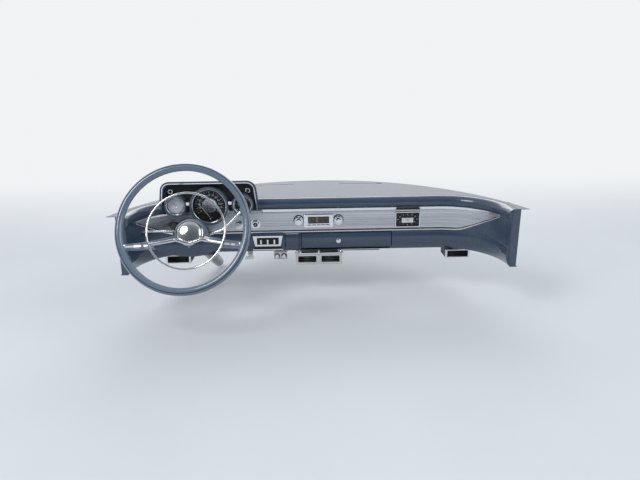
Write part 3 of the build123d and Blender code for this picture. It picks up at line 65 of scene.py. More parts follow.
def linear(code):
    """Turns an sRGB hex colour into the linear one that a shader takes."""
    parts = [int(code[i:i + 2], 16) / 255 for i in (0, 2, 4)]
    return [p / 12.92 if p <= 0.04045 else ((p + 0.055) / 1.055) ** 2.4 for p in parts] + [1]


def add(tree, kind, sockets=None, to=None, **settings):
    """Adds a shader node. A socket takes a value, a node or an output; to is where it leads."""
    made = tree.nodes.new("ShaderNode" + kind)
    for name, value in settings.items():
        setattr(made, name, value)
    for name, value in (sockets or {}).items():
        if isinstance(name, int):
            socket = made.inputs[name]
        else:
            socket = next(s for s in made.inputs if s.name == name and s.enabled)
        if isinstance(value, bpy.types.Node):
            value = next(s for s in value.outputs if s.enabled)
        if isinstance(value, bpy.types.NodeSocket):
            tree.links.new(value, socket)
        else:
            socket.default_value = value
    if to:
        tree.links.new(next(s for s in made.outputs if s.enabled), to)
    return made


def begin(name, **sockets):
    """Starts a material: its tree, its shader, and the place on the piece in metres."""
    made = bpy.data.materials.new(name)
    made.use_nodes = True
    tree = made.node_tree
    shader = tree.nodes["Principled BSDF"]
    for socket, value in sockets.items():
        shader.inputs[socket.replace("_", " ")].default_value = value
    place = add(tree, "TexCoord").outputs["Object"]
    return made, tree, shader, place


def per_metre(size):
    """How many times a pattern of this size in millimetres fits into a metre."""
    return 1000 / size


def enamel(name, colour, shade, coat=0.6, dusty=0.04):
    """Sprayed enamel: a tone that drifts every 70 mm, orange peel of 3 mm that ripples the
    gloss, and a dull film of dust, with a grain of 4 mm, where it faces up."""
    made, tree, shader, place = begin(
        name, IOR=1.5, Coat_Weight=coat, Coat_Roughness=0.05, Specular_IOR_Level=0.5)
    cloud = add(tree, "TexNoise", {"Vector": place, "Scale": per_metre(71.43), "Detail": 4})
    paint = add(tree, "Mix", {"Factor": cloud, "A": linear(colour), "B": linear(shade)},
                data_type="RGBA")
    dust = add(tree, "TexNoise",
               {"Vector": place, "Scale": per_metre(3.846), "Detail": 6, "Roughness": 0.7})
    up = add(tree, "SeparateXYZ", {"Vector": add(tree, "NewGeometry").outputs["Normal"]})
    lies = add(tree, "Math", {0: up.outputs["Z"], 1: dust}, operation="MULTIPLY")
    film = add(tree, "MapRange",
               {"Value": lies, "From Min": 0.2, "From Max": 0.7, "To Max": dusty})
    add(tree, "Mix", {"Factor": film, "A": paint, "B": linear("A9ABA8")},
        to=shader.inputs["Base Color"], data_type="RGBA")
    add(tree, "MapRange",
        {"Value": dust, "From Min": 0.35, "From Max": 0.75, "To Min": 0.24, "To Max": 0.4},
        to=shader.inputs["Roughness"])
    peel = add(tree, "TexNoise", {"Vector": place, "Scale": per_metre(2.941), "Detail": 1})
    add(tree, "Bump", {"Height": peel, "Strength": 0.05, "Distance": 0.0005},
        to=shader.inputs["Normal"])
    return made


def dress(material, *names):
    """Gives CAD nodes their material."""
    for name in names:
        for held in nodes[name].material_slots:
            held.material = material


slate_enamel = enamel("slate_enamel", "394A60", "324256")
dress(slate_enamel, "dash_top", "dash_face", "dash_end_left", "dash_end_right")

# ---- Ashtray sleeve and column bracket ----
# Folded from steel strip of 1.5 to 3 mm, dipped in black enamel and baked satin. They
# are spot-welded and screwed behind the face, where nobody looks.

# Grit 1.4 mm apart breaks up the soft sheen.
black_enamel, tree, shader, place = begin("satin_black_enamel", IOR=1.5, Specular_IOR_Level=0.4)
grit = add(tree, "TexNoise", {"Vector": place, "Scale": per_metre(1.4286), "Detail": 3})
add(tree, "Mix", {"Factor": grit, "A": linear("17181A"), "B": linear("26282B")},
    to=shader.inputs["Base Color"], data_type="RGBA")
add(tree, "MapRange", {"Value": grit, "To Min": 0.4, "To Max": 0.62},
    to=shader.inputs["Roughness"])
add(tree, "Bump", {"Height": grit, "Strength": 0.12, "Distance": 0.0004},
    to=shader.inputs["Normal"])
dress(black_enamel, "ashtray_sleeve", "column_bracket")

# ---- Bright insert, its moulding and the raised band ----
# The insert is thin sheet aluminium, brushed from end to end and lacquered, held in the
# face by folded tabs. A plated steel moulding runs below it and a plated band above it.


def brushed(name, light, dark, streak):
    """Brushed metal: streaks of this size in mm along x, y and z, in bands 8 times as wide."""
    made, tree, shader, place = begin(name, Metallic=1.0)
    across = [per_metre(size) for size in streak]
    fine = add(tree, "Mapping", {"Vector": place, "Scale": across})
    streaks = add(tree, "TexNoise", {"Vector": fine, "Scale": 1, "Detail": 5, "Roughness": 0.7})
    broad = add(tree, "Mapping", {"Vector": place, "Scale": [scale / 8 for scale in across]})
    bands = add(tree, "TexNoise", {"Vector": broad, "Scale": 1, "Detail": 2})
    both = add(tree, "Math", {0: streaks, 1: bands}, operation="ADD")
    tone = add(tree, "MapRange", {"Value": both, "From Min": 0.65, "From Max": 1.35})
    add(tree, "Mix", {"Factor": tone, "A": linear(light), "B": linear(dark)},
        to=shader.inputs["Base Color"], data_type="RGBA")
    add(tree, "MapRange", {"Value": streaks, "To Min": 0.16, "To Max": 0.4},
        to=shader.inputs["Roughness"])
    add(tree, "Bump", {"Height": streaks, "Strength": 0.12, "Distance": 0.0003},
        to=shader.inputs["Normal"])
    return made


# The brush leaves silky streaks that draw highlights out upright. Real ones are finer,
# and these are as coarse as they need to be to show.
brushed_aluminium = brushed("brushed_aluminium", "D9DBDF", "A3A7AE", (111.1, 111.1, 0.7143))

# Chrome is a mirror. Faint pits and wiping marks about 1 mm apart soften it in places.
chrome_plate, tree, shader, place = begin(
    "chrome_plate", Metallic=1.0, Base_Color=linear("E3E4E6"))
wipe = add(tree, "TexNoise",
           {"Vector": place, "Scale": per_metre(1.111), "Detail": 4, "Roughness": 0.75})
add(tree, "MapRange",
    {"Value": wipe, "From Min": 0.4, "From Max": 0.8, "To Min": 0.05, "To Max": 0.19},
    to=shader.inputs["Roughness"])
dress(chrome_plate, "upper_band")


def seat(at, out=(0, -1, 0)):
    """Millimetres on a piece's face: x to the right, y up the face, z out of it."""
    z = Vector(out).normalized()
    x = Vector((1, 0, 0))
    y = z.cross(x).normalized()
    turn = Matrix((y.cross(z), y, z)).transposed().to_4x4()
    return Matrix.Translation(at) @ turn @ Matrix.Scale(0.001, 4)


def piece(name, verts, faces, place, material, body="dash", sharp=35):
    """Makes a piece from points in millimetres, shades it and lets it ride on a body."""
    mesh = bpy.data.meshes.new(name)
    mesh.from_pydata([place @ Vector(v) for v in verts], [], faces)
    shell = bmesh.new()
    shell.from_mesh(mesh)
    bmesh.ops.remove_doubles(shell, verts=shell.verts, dist=1e-6)
    bmesh.ops.recalc_face_normals(shell, faces=shell.faces)
    shell.to_mesh(mesh)
    shell.free()
    mesh.shade_smooth()
    mesh.set_sharp_from_angle(angle=math.radians(sharp))
    mesh.materials.append(material)
    made = bpy.data.objects.new(name, mesh)
    bpy.context.scene.collection.objects.link(made)
    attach(made, body)
    return made


def lofted(name, rings, place, material, body="dash", sharp=35, closed=False):
    """A piece whose skin joins like rings of points. Its ends are filled, or meet if closed."""
    n = len(rings[0])
    verts = [point for ring in rings for point in ring]
    faces = []
    for k in range(len(rings) if closed else len(rings) - 1):
        a, b = k * n, (k + 1) % len(rings) * n
        faces += [(a + i, a + (i + 1) % n, b + (i + 1) % n, b + i) for i in range(n)]
    if not closed:
        faces += [tuple(range(n)), tuple(range(len(verts) - n, len(verts)))]
    return piece(name, verts, faces, place, material, body, sharp)


AMID = (0, -1.1, -0.12)         # a point behind the wheel, level with the insert's lower edge


def along_face(name, start, end, steps, section, material):
    """A strip that follows the face between two directions from that point, in degrees.
    section(x) gives its outline as (out from the face, height), in millimetres."""
    rings = []
    for k in range(steps + 1):
        turn = math.radians(start + (end - start) * k / steps)
        ahead = (math.sin(turn), math.cos(turn), 0)
        _, spot, facing, _ = nodes["dash_face"].ray_cast(AMID, ahead)
        rings.append([(spot.x * 1000 + facing.x * out, spot.y * 1000 + facing.y * out, up)
                      for out, up in section(abs(spot.x) * 1000)])
    return lofted(name, rings, Matrix.Scale(0.001, 4), material)


STRAIGHT_TO = 0.531             # the CAD insert is kept out to here on both sides
POINT_FROM, TIP = 34.9, 47.1    # directions of the points' inner ends and of their tips
BAND_FROM, BAND_TO = -16.3, 38.4    # directions of the two ends of the CAD band
GROOVE_TIP = 46.2               # the groove by the moulding ends short of the tips
TIP_X = 668                     # how far out the tips are
TOP = -34                       # height of the insert's upper edge


def lower_edge(x):
    """Height of the insert's lower edge: level, then a long rise to the point."""
    rise = ((530, -121.5), (545, -120.7), (560, -118.3), (572, -113.6), (591, -104.6),
            (606, -95.6), (621, -85.8), (634, -75.6), (646, -65.3), (657, -53.2),
            (663.5, -44.6), (667.5, -39))
    for (x0, z0), (x1, z1) in zip(rise, rise[1:]):
        if x0 < x <= x1:
            return z0 + (z1 - z0) * (x - x0) / (x1 - x0)
    return rise[0][1] if x <= rise[0][0] else rise[-1][1]


def point_section(x):
    """The sheet, 1 mm thick."""
    return (0.3, TOP), (1.3, TOP), (1.3, lower_edge(x)), (0.3, lower_edge(x))


def band_section(x):
    """The raised band, which grows thinner towards the tip."""
    drop = 0.1 * max(25, TIP_X - x)
    return (1.3, TOP), (3.6, TOP - 0.4), (3.6, TOP - 0.5 - drop), (1.3, TOP - 1 - drop)


def moulding_section(x):
    """The rounded moulding, half as tall at the tip."""
    size = min(1, 0.5 + 0.005 * (TIP_X - x))
    crown = ((0.3, 0), (2.2, 0), (3.7, -1), (4.3, -2.6), (4.2, -4.6), (3.6, -6.6), (2.2, -7.7),
             (0.3, -8))
    return [(out, lower_edge(x) + up * size) for out, up in crown]


def groove_section(x):
    """The dark gap between the sheet and its moulding."""
    edge = lower_edge(x)
    return (0.3, edge), (1.7, edge), (1.7, edge + 2.6), (0.3, edge + 2.6)


def band_groove_section(x):
    """The dark gap under the raised band."""
    return (1, -44), (1.9, -44), (1.9, -45.6), (1, -45.6)


sheet = bmesh.new()
sheet.from_mesh(nodes["silver_insert"].data)
for side in (-1, 1):
    bmesh.ops.bisect_plane(
        sheet, geom=sheet.verts[:] + sheet.edges[:] + sheet.faces[:],
        plane_co=(side * STRAIGHT_TO, 0, 0), plane_no=(side, 0, 0), clear_outer=True)
middle = bpy.data.meshes.new("bright_insert")
sheet.to_mesh(middle)
sheet.free()
middle.materials.clear()
middle.materials.append(brushed_aluminium)
bright_insert = bpy.data.objects.new("bright_insert", middle)
bpy.context.scene.collection.objects.link(bright_insert)
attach(bright_insert, "dash")
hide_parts("silver_insert")
for side, name in ((-1, "left"), (1, "right")):
    along_face("insert_point_" + name, side * POINT_FROM, side * TIP, 48, point_section,
               brushed_aluminium)
    along_face("upper_band_point_" + name, side * BAND_TO, side * TIP, 32, band_section,
               chrome_plate)
lower_moulding = along_face("lower_moulding", -TIP, TIP, 240, moulding_section, chrome_plate)
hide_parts("insert_moulding")
along_face("insert_groove", -GROOVE_TIP, GROOVE_TIP, 200, groove_section, black_enamel)
along_face("band_groove", BAND_FROM, BAND_TO, 100, band_groove_section, black_enamel)

# ---- End caps of the face ----
# Two steel blanks, welded into the open ends of the face's roll and sprayed with the
# dash. Each follows the section of the skin that it closes.


def plate(name, outline, low, high, place, material, edge=0.0):
    """A flat piece with this outline, from one height to another, its front edge eased."""
    centre = [sum(values) / len(outline) for values in zip(*outline)]
    inner = [[v + math.copysign(edge, c - v) if abs(c - v) > edge else v
              for v, c in zip(point, centre)] for point in outline]
    rings = [[(x, y, h) for x, y in line]
             for line, h in ((outline, low), (outline, high - edge), (inner, high))]
    return lofted(name, rings, place, material)


CAP_X = 701.5                   # the caps reach out to the end plates
BOTTOM, TOP_OF_ROLL = -203, 6   # heights between which the skin is felt for
face_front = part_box("dash_face")[0][1]
for side, name in ((-1, "left"), (1, "right")):
    outline = []
    for up in range(BOTTOM, TOP_OF_ROLL, 3):
        start = (side * 0.5, face_front + 0.003, up / 1000)
        found, spot, *_ = nodes["dash_face"].ray_cast(start, (side, 0, 0))
        if found:
            outline.append((spot.x * 1000 + side * 0.4, up))
    outline += [(side * CAP_X, outline[-1][1]), (side * CAP_X, outline[0][1])]
    plate("face_end_cap_" + name, outline, 0, 1.2, seat((0, face_front + 0.0036, 0)),
          slate_enamel)

# ---- Hood and instrument panel ----
# The hood is pressed steel in the dash's enamel, with a plated bead on its edge. Behind
# the dials stands a panel sprayed in coarse black wrinkle paint.

# Wrinkle paint dries in short ridges about 1.6 mm apart, which catch the light.
black_wrinkle, tree, shader, place = begin(
    "black_wrinkle_paint", IOR=1.5, Roughness=0.55, Specular_IOR_Level=0.45,
    Base_Color=linear("1C1E21"))
cells = add(tree, "TexVoronoi", {"Vector": place, "Scale": per_metre(1.613)},
            feature="SMOOTH_F1")
add(tree, "Bump", {"Height": cells.outputs["Distance"], "Strength": 0.6, "Distance": 0.0007},
    to=shader.inputs["Normal"])
dress(slate_enamel, "hood")
dress(chrome_plate, "hood_bezel")
dress(black_wrinkle, "instrument_panel")
DIALS_X, PANEL_Y = -0.414, -0.356904    # middle of the panel, and its face

# ---- Signal lamps ----
# Turned brass bezels under chrome plate, pushed through the panel's upper corners, each
# with a lens moulded in green acrylic.


def around(radius, angle):
    """A point on a circle, by its angle in degrees."""
    return radius * math.cos(math.radians(angle)), radius * math.sin(math.radians(angle))


def turned(name, profile, place, material, body="dash", count=72):
    """A piece turned about z from (radius, height) points, in millimetres."""
    n = len(profile)
    verts, faces = [], []
    for k in range(count):
        verts += [(*around(r, 360 * k / count), h) for r, h in profile]
        a, b = k * n, (k + 1) % count * n
        faces += [(a + i, b + i, b + i + 1, a + i + 1) for i in range(n - 1)]
    return piece(name, verts, faces, place, material, body)


# Ribs in the lens, 1.26 mm apart, break up its tone. A wave repeats 20 / tau times as
# often as its scale says.
lens_green, tree, shader, place = begin(
    "green_acrylic", Roughness=0.15, IOR=1.49, Transmission_Weight=0.3)
ribs = add(tree, "TexWave", {"Vector": place, "Scale": per_metre(1.2566) * math.tau / 20},
           bands_direction="Z")
add(tree, "Mix", {"Factor": ribs, "A": linear("07150F"), "B": linear("0C2A1C")},
    to=shader.inputs["Base Color"], data_type="RGBA")
dress(chrome_plate, "signal_lamps")
for side, name in ((-1, "left"), (1, "right")):
    turned("lamp_lens_" + name, [(0, 0.4), (0, 1.8), (4, 1.6), (6.6, 0.9), (6.6, 0.2)],
           seat((DIALS_X + side * 0.146, PANEL_Y - 0.006, 0.049)), lens_green)

# ---- Speedometer and side pods ----
# Die-cast rims in blue-grey enamel with a polished lip, printed dials set deep inside,
# and flat glass held by a plated ring. The needle turns on a spindle low in the dial.
rim_enamel = enamel("blue_grey_enamel", "4A5B70", "3F4F63")
dress(rim_enamel, "speedometer", "fuel_pod", "heat_pod")


def mottled(name, colour, shade, size, detail=2, **sockets):
    """A smooth print, lacquer or moulding with a mottled tone, in spots of this many mm."""
    made, tree, shader, place = begin(name, **sockets)
    tone = add(tree, "TexNoise", {"Vector": place, "Scale": per_metre(size), "Detail": detail})
    add(tree, "Mix", {"Factor": tone, "A": linear(colour), "B": linear(shade)},
        to=shader.inputs["Base Color"], data_type="RGBA")
    return made


# Ink and lacquer lie flat and matt, with a fine speck that shows only close up.
# The black print also serves as painted shade in the rim's groove and in the slot under the
# heater control.
black_print_and_shade = mottled("black_print_and_painted_shade", "0D0E10", "1A1B1E", 0.6667, Roughness=0.6, IOR=1.5)
print_pale = mottled("pale_dial_print", "E9ECE8", "DADFDC", 0.6667, Roughness=0.5, IOR=1.5)
# The fuel dial's pale ground is a painted reflection of light on its glass; the real dial is
# black like the heat dial.
painted_reflection_ground = mottled("painted_reflection_dial", "EDF1F8", "DCE2EC", 0.6667, Roughness=0.4, IOR=1.5)
needle_ivory = mottled("ivory_enamel", "E8E2D4", "D8CFBC", 1.111, Roughness=0.35, IOR=1.5)

# The lathe leaves a fine grain on spun metal, so it shines but doesn't mirror.
spun_aluminium, tree, shader, place = begin("spun_aluminium", Metallic=1.0)
grain = add(tree, "TexNoise", {"Vector": place, "Scale": per_metre(0.8333), "Detail": 3})
add(tree, "Mix", {"Factor": grain, "A": linear("DADCDF"), "B": linear("B9BDC2")},
    to=shader.inputs["Base Color"], data_type="RGBA")
add(tree, "MapRange", {"Value": grain, "To Min": 0.18, "To Max": 0.36},
    to=shader.inputs["Roughness"])

# Flat glass is all but clear, with a film in patches of 11 mm that dulls its glint.
dial_glass, tree, shader, place = begin(
    "dial_glass", Roughness=0.02, IOR=1.5, Transmission_Weight=1.0, Alpha=0.14)
film = add(tree, "TexNoise", {"Vector": place, "Scale": per_metre(11.11), "Detail": 3})
add(tree, "MapRange", {"Value": film, "To Min": 0.01, "To Max": 0.08},
    to=shader.inputs["Roughness"])


def rounded(width, height, radius, y=0.0):
    """Outline of a rectangle with round corners, its middle at this y."""
    points = []
    for right, top, start in ((1, 1, 0), (-1, 1, 90), (-1, -1, 180), (1, -1, 270)):
        for step in range(6):
            out, up = around(radius, start + 18 * step)
            points.append((right * (width / 2 - radius) + out,
                           y + top * (height / 2 - radius) + up))
    return points


def words(name, lines, place, material, lift):
    """Printed characters, lift mm in front of the place: (text, x, y, height) for each."""
    all_marks = bmesh.new()
    for text, x, y, tall in lines:
        curve = bpy.data.curves.new(name, "FONT")
        curve.body = text
        curve.size = tall * 1.4         # a digit is 1 / 1.4 as tall as its font's size
        curve.align_x = "CENTER"
        curve.align_y = "CENTER"
        curve.resolution_u = 3
        held = bpy.data.objects.new(name, curve)
        flat = bpy.data.meshes.new_from_object(held)
        flat.transform(place @ Matrix.Translation((x, y, lift)))
        all_marks.from_mesh(flat)
        bpy.data.meshes.remove(flat)
        bpy.data.objects.remove(held)
        bpy.data.curves.remove(curve)
    mesh = bpy.data.meshes.new(name)
    all_marks.to_mesh(mesh)
    all_marks.free()
    mesh.materials.append(material)
    made = bpy.data.objects.new(name, mesh)
    bpy.context.scene.collection.objects.link(made)
    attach(made, "dash")


def ticks(name, marks, place, material, lift, thick=0.25):
    """Raised marks, lift mm in front of the place: (x, y, length, width, degrees) for each."""
    verts, faces = [], []
    for x, y, long, wide, angle in marks:
        along, aside = Vector(around(long / 2, angle)), Vector(around(wide / 2, angle + 90))
        k = len(verts)
        for h in (lift, lift + thick):
            for p, q in ((-1, -1), (1, -1), (1, 1), (-1, 1)):
                verts.append((*(Vector((x, y)) + along * p + aside * q), h))
        faces += [(k, k + 1, k + 2, k + 3), (k + 4, k + 5, k + 6, k + 7)]
        faces += [(k + i, k + (i + 1) % 4, k + 4 + (i + 1) % 4, k + 4 + i) for i in range(4)]
    return piece(name, verts, faces, place, material, sharp=10)


def bead(radius, height, thick, sides=18):
    """Section of a ring of round wire. The wire's own radius is thick."""
    ring = [around(thick, 360 * k / sides - 180) for k in range(sides + 1)]
    return [(radius + out, height + up) for out, up in ring]


DIAL = seat((DIALS_X, PANEL_Y - 0.014, -0.004))
turned("speedometer_dial", [(0, 0.2), (57, 0.2), (57, 0.9), (56.4, 1.1), (0, 1.1)], DIAL,
       black_print_and_shade)
turned("speedometer_centre", [(0, 1), (27, 1), (28, 1.4), (27.4, 2.2), (20, 2.8), (0, 3.0)],
       DIAL, spun_aluminium)
turned("speedometer_lip",
       [(57.2, 1), (59.5, 8), (61.2, 12), (60.2, 12.5), (58, 9), (55.8, 1.4), (57.2, 1)],
       DIAL, black_print_and_shade)
turned("speedometer_bead", bead(63.6, 16, 2.3), DIAL, chrome_plate, count=120)
marks, numbers = [], []
for step in range(25):
    angle = 213 - step * 10.25
    long, wide = (4.0, 0.7) if step % 2 else (7.0, 1.1)
    marks.append((*around(54 - long / 2, angle), long, wide, angle))
    if step % 2 == 0:
        numbers.append((str(step * 5), *around(39.8, angle), 7.4))
ticks("speedometer_marks", marks, DIAL, print_pale, 1.1)
words("speedometer_numbers", numbers, DIAL, print_pale, 1.25)
plate("odometer_window", rounded(27, 8, 1.5, y=-15), 1.5, 3.3, DIAL, black_print_and_shade, edge=0.3)
words("odometer_digits", [(digit, -10 + 5 * k, -15, 4.6) for k, digit in enumerate("04716")],
      DIAL, print_pale, 3.45)
ticks("speedometer_needle", [(-19, -21, 71, 1.5, 127)], DIAL, needle_ivory, 5.2, thick=0.7)
turned("needle_spindle", [(0, 2), (5.5, 2), (5.5, 5.8), (4.5, 7), (0, 7.3)],
       DIAL @ Matrix.Translation((2, -49, 1)), chrome_plate)
turned("speedometer_glass", [(0, 12), (60, 12), (60, 13), (0, 13)], DIAL, dial_glass)

# The fuel pod's pale ground is a painted reflection; the heat pod shows the dials' own black.
for side, name, ground, ink, hand, ends in (
        (-1, "fuel", painted_reflection_ground, black_print_and_shade, black_print_and_shade, "EF"),
        (1, "heat", black_print_and_shade, print_pale, needle_ivory, "CH")):
    pod = seat((DIALS_X + side * 0.126, PANEL_Y - 0.018, -0.001))
    turned(name + "_dial", [(0, 0.2), (25.5, 0.2), (25.5, 0.8), (25, 1.1), (0, 1.1)], pod, ground)
    turned(name + "_lip",
           [(25.7, 1), (27.6, 7), (29.4, 11), (28.6, 11.6), (26.4, 8), (24.8, 1.3), (25.7, 1)],
           pod, chrome_plate)
    turned(name + "_bead", bead(33.2, 15, 1.7), pod, chrome_plate, count=96)
    ticks(name + "_marks",
          [(*around(20, angle), 6 if angle % 60 == 30 else 3.5, 1.0, angle)
           for angle in range(30, 151, 15)], pod, ink, 1.1)
    words(name + "_ends", [(ends[0], -16, 1, 6), (ends[1], 16, 1, 6)], pod, ink, 1.3)
    ticks(name + "_needle", [(-6, 6, 24, 1.3, 128)], pod, hand, 4.5, thick=0.6)
    turned(name + "_boss", [(0, 1), (4.5, 1), (4.5, 5), (3.6, 6), (0, 6.2)],
           pod @ Matrix.Translation((0, -4, 0)), chrome_plate)
    turned(name + "_glass", [(0, 11), (28.2, 11), (28.2, 11.8), (0, 11.8)], pod, dial_glass)
    plate("pod_link_" + name, rounded(15, 13, 3), 0, 9,
          seat((DIALS_X + side * 0.079, PANEL_Y - 0.024, 0.007)), chrome_plate, edge=1.5)

# ---- Radio ----
# Die-cast plated frame over the insert, with a dark dial behind a clear window, a row of
# plated push buttons, and two stepped knobs on steel spindles.
dress(chrome_plate, "radio", "radio_knobs", "radio_buttons")
INSERT_Y, RADIO_Z = -0.332004, -0.079   # the insert's face, and the height of the radio
RADIO = seat((0, INSERT_Y, RADIO_Z))


def fluted(name, radius, depth, flutes, bore, low, high, place, material):
    """A knob's grip: a drum with round flutes, a chamfered front and a bore."""
    turns = [math.tau * k / (6 * flutes) for k in range(6 * flutes)]
    rings = []
    for h, inset in ((low, 0), (high - 0.8, 0), (high, 0.8)):
        reach = [radius - inset - depth * (0.5 - 0.5 * math.cos(flutes * a)) for a in turns]
        rings.append([(r * math.cos(a), r * math.sin(a), h) for r, a in zip(reach, turns)])
    for h in (high, low):
        rings.append([(bore * math.cos(a), bore * math.sin(a), h) for a in turns])
    return lofted(name, rings, place, material, sharp=50, closed=True)


KNOB_RADIUS = 0.017
for side, name in ((-1, "tuning_grip"), (1, "volume_grip")):
    knob = seat((side * (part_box("radio_knobs")[1][0] - KNOB_RADIUS), INSERT_Y, RADIO_Z))
    fluted(name, 17.6, 0.9, 28, 10, 4, 9, knob, chrome_plate)
    turned(name + "_ring",
           [(16, 0.1), (20.5, 0.1), (20.5, 1.2), (20, 1.6), (16, 1.6), (16, 0.1)],
           knob, black_print_and_shade)

# The dial is a film of brown lacquer under gloss, with its scale printed in dull amber.
dial_brown = mottled("smoked_dial_lacquer", "1F1815", "2E2420", 14.29, 3,
                     Roughness=0.3, IOR=1.5, Coat_Weight=0.6)
amber_print = mottled("amber_dial_print", "8C7B62", "77684F", 0.6667, Roughness=0.5, IOR=1.5)
plate("radio_dial", rounded(83, 27, 2), 0.1, 0.8, RADIO, dial_brown)
stations = (("54", -34), ("6", -21), ("7", -9), ("8", 1), ("10", 12), ("13", 24), ("16", 35))
words("radio_numbers", [(text, x, -5, 4.2) for text, x in stations], RADIO, amber_print, 1.0)
ticks("radio_scale", [(-36 + 4 * k, 4, 2 if k % 3 else 4, 0.7, 90) for k in range(19)], RADIO,
      amber_print, 0.8)
ticks("radio_pointer", [(-6, 1, 22, 1.1, 90)], RADIO, needle_ivory, 1.6, thick=0.5)
plate("radio_window", rounded(83.4, 27.4, 2), 3.0, 3.8, RADIO, dial_glass)

# ---- Clock ----
# Plated frame let into the insert, a black dial with printed marks, and two hands on a
# post behind clear glass, in a black housing.
dress(black_enamel, "clock")
CLOCK = seat((0.352, INSERT_Y, -0.084))
plate("clock_dial", rounded(89, 53, 3), 0.1, 0.8, CLOCK, black_print_and_shade)
plate("clock_centre", rounded(46, 19, 1.5, y=-4), 0.8, 1.3, CLOCK, print_pale)
ticks("clock_cross", [(0, -4, 9, 1.4, 0), (0, -4, 9, 1.4, 90)], CLOCK, black_print_and_shade, 1.3)
marks = []
for hour in range(12):
    angle = 90 - 30 * hour
    long, inward = (5, 0.9) if hour % 3 else (7, 1)
    marks.append((around(38 * inward, angle)[0], around(21.5, angle)[1], long, 1.2, angle))
ticks("clock_marks", marks, CLOCK, print_pale, 0.9)
ticks("clock_hands", [(5, 1, 17, 1.8, 45), (-8, 1, 24, 1.2, 148)], CLOCK, spun_aluminium, 2.0,
      thick=0.5)
turned("clock_post", [(0, 1), (2.6, 1), (2.6, 2.8), (1.8, 3.1), (0, 3.1)],
       CLOCK @ Matrix.Translation((0, -4, 0)), chrome_plate, count=24)


def framed(name, width, height, border, low, high, place, material, ease=0.6):
    """A rectangular frame with eased edges and round corners."""
    rings = []
    for inset, h in ((0, low), (0, high - ease), (ease, high), (border - ease, high),
                     (border, high - ease), (border, low)):
        outline = rounded(width - 2 * inset, height - 2 * inset, max(3 - inset, 0.4))
        rings.append([(x, y, h) for x, y in outline])
    return lofted(name, rings, place, material, sharp=40, closed=True)


framed("clock_frame", 98.6, 62.6, 3.6, 2.2, 5.4, CLOCK, chrome_plate)
plate("clock_band_tab", rounded(92, 6.6, 1), 1.0, 5.6, CLOCK @ Matrix.Translation((0, 45.4, 0)),
      black_print_and_shade, edge=0.3)
plate("clock_glass", rounded(89.4, 53.4, 3), 3.2, 3.8, CLOCK, dial_glass)

# ---- Switches and heater control ----
# Turned brass under chrome plate, and one knob moulded in black phenolic, pushed on to
# spindles through the insert. The heater's levers slide in slots in a plated bezel.

# Phenolic is glossy and not quite even: its filler swirls about 6 mm apart.
black_phenolic = mottled("black_phenolic", "101012", "1D1D20", 6.25, 4,
                         Roughness=0.22, IOR=1.6, Coat_Weight=0.2)
dress(chrome_plate, "ignition_switch", "heater_control", "heater_levers")
dress(black_phenolic, "light_switch")


def front(x, z, *names):
    """The y of the first of these CAD nodes at this x and z, seen from the wheel's side."""
    hits = [nodes[n].ray_cast((x, -2, z), (0, 1, 0)) for n in names]
    return min(spot.y for found, spot, *_ in hits if found)


HEATER_X = -0.201
plate("heater_slots", rounded(85.6, 27.6, 3), 0.1, 0.7, seat((HEATER_X, -0.343904, -0.158)),
      black_print_and_shade)
# The black plate below the control is painted shadow: it stands for the shade in a recessed slot
# that the face does not have.
plate("heater_slot_painted_shadow", rounded(108, 11, 3), 0, 1.2,
      seat((HEATER_X, front(HEATER_X, -0.189, "dash_face"), -0.1885)), black_print_and_shade)
plate("heater_lip", rounded(118, 4.4, 2), 0, 8,
      seat((HEATER_X, front(HEATER_X, -0.198, "dash_face"), -0.1975)), chrome_plate, edge=1.0)
IGNITION = seat((-0.247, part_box("ignition_switch")[0][1], -0.090))
turned("ignition_bezel",
       [(8.5, -1), (12.5, -1), (13.2, 0.2), (12.6, 1.0), (9.4, 1.0), (8.5, 0.2), (8.5, -1)],
       IGNITION, chrome_plate)
turned("ignition_plug", [(0, 0.1), (9, 0.1), (9, 0.6), (8.4, 0.9), (0, 0.9)], IGNITION,
       black_phenolic)
ticks("ignition_key_slot", [(0, 0, 8, 1.2, 90)], IGNITION, chrome_plate, 0.9, thick=0.2)

# ---- Glove box and ashtray ----
# The box is pressed fibre board, dark and a little furry, behind a pressed steel door
# with a plated knob. The door's and the ashtray's fronts are sprayed with the dash.

# Loose fibres every 2 mm leave the board rough and without any shine.
fibre_board, tree, shader, place = begin(
    "fibre_board", Roughness=0.9, IOR=1.45, Specular_IOR_Level=0.2)
felt = add(tree, "TexNoise",
           {"Vector": place, "Scale": per_metre(2.083), "Detail": 8, "Roughness": 0.8})
add(tree, "Mix", {"Factor": felt, "A": linear("26241F"), "B": linear("3A372F")},
    to=shader.inputs["Base Color"], data_type="RGBA")
add(tree, "Bump", {"Height": felt, "Strength": 0.3, "Distance": 0.0006},
    to=shader.inputs["Normal"])
dress(fibre_board, "glove_box")
dress(slate_enamel, "glove_door", "ashtray")
dress(chrome_plate, "glove_knob")

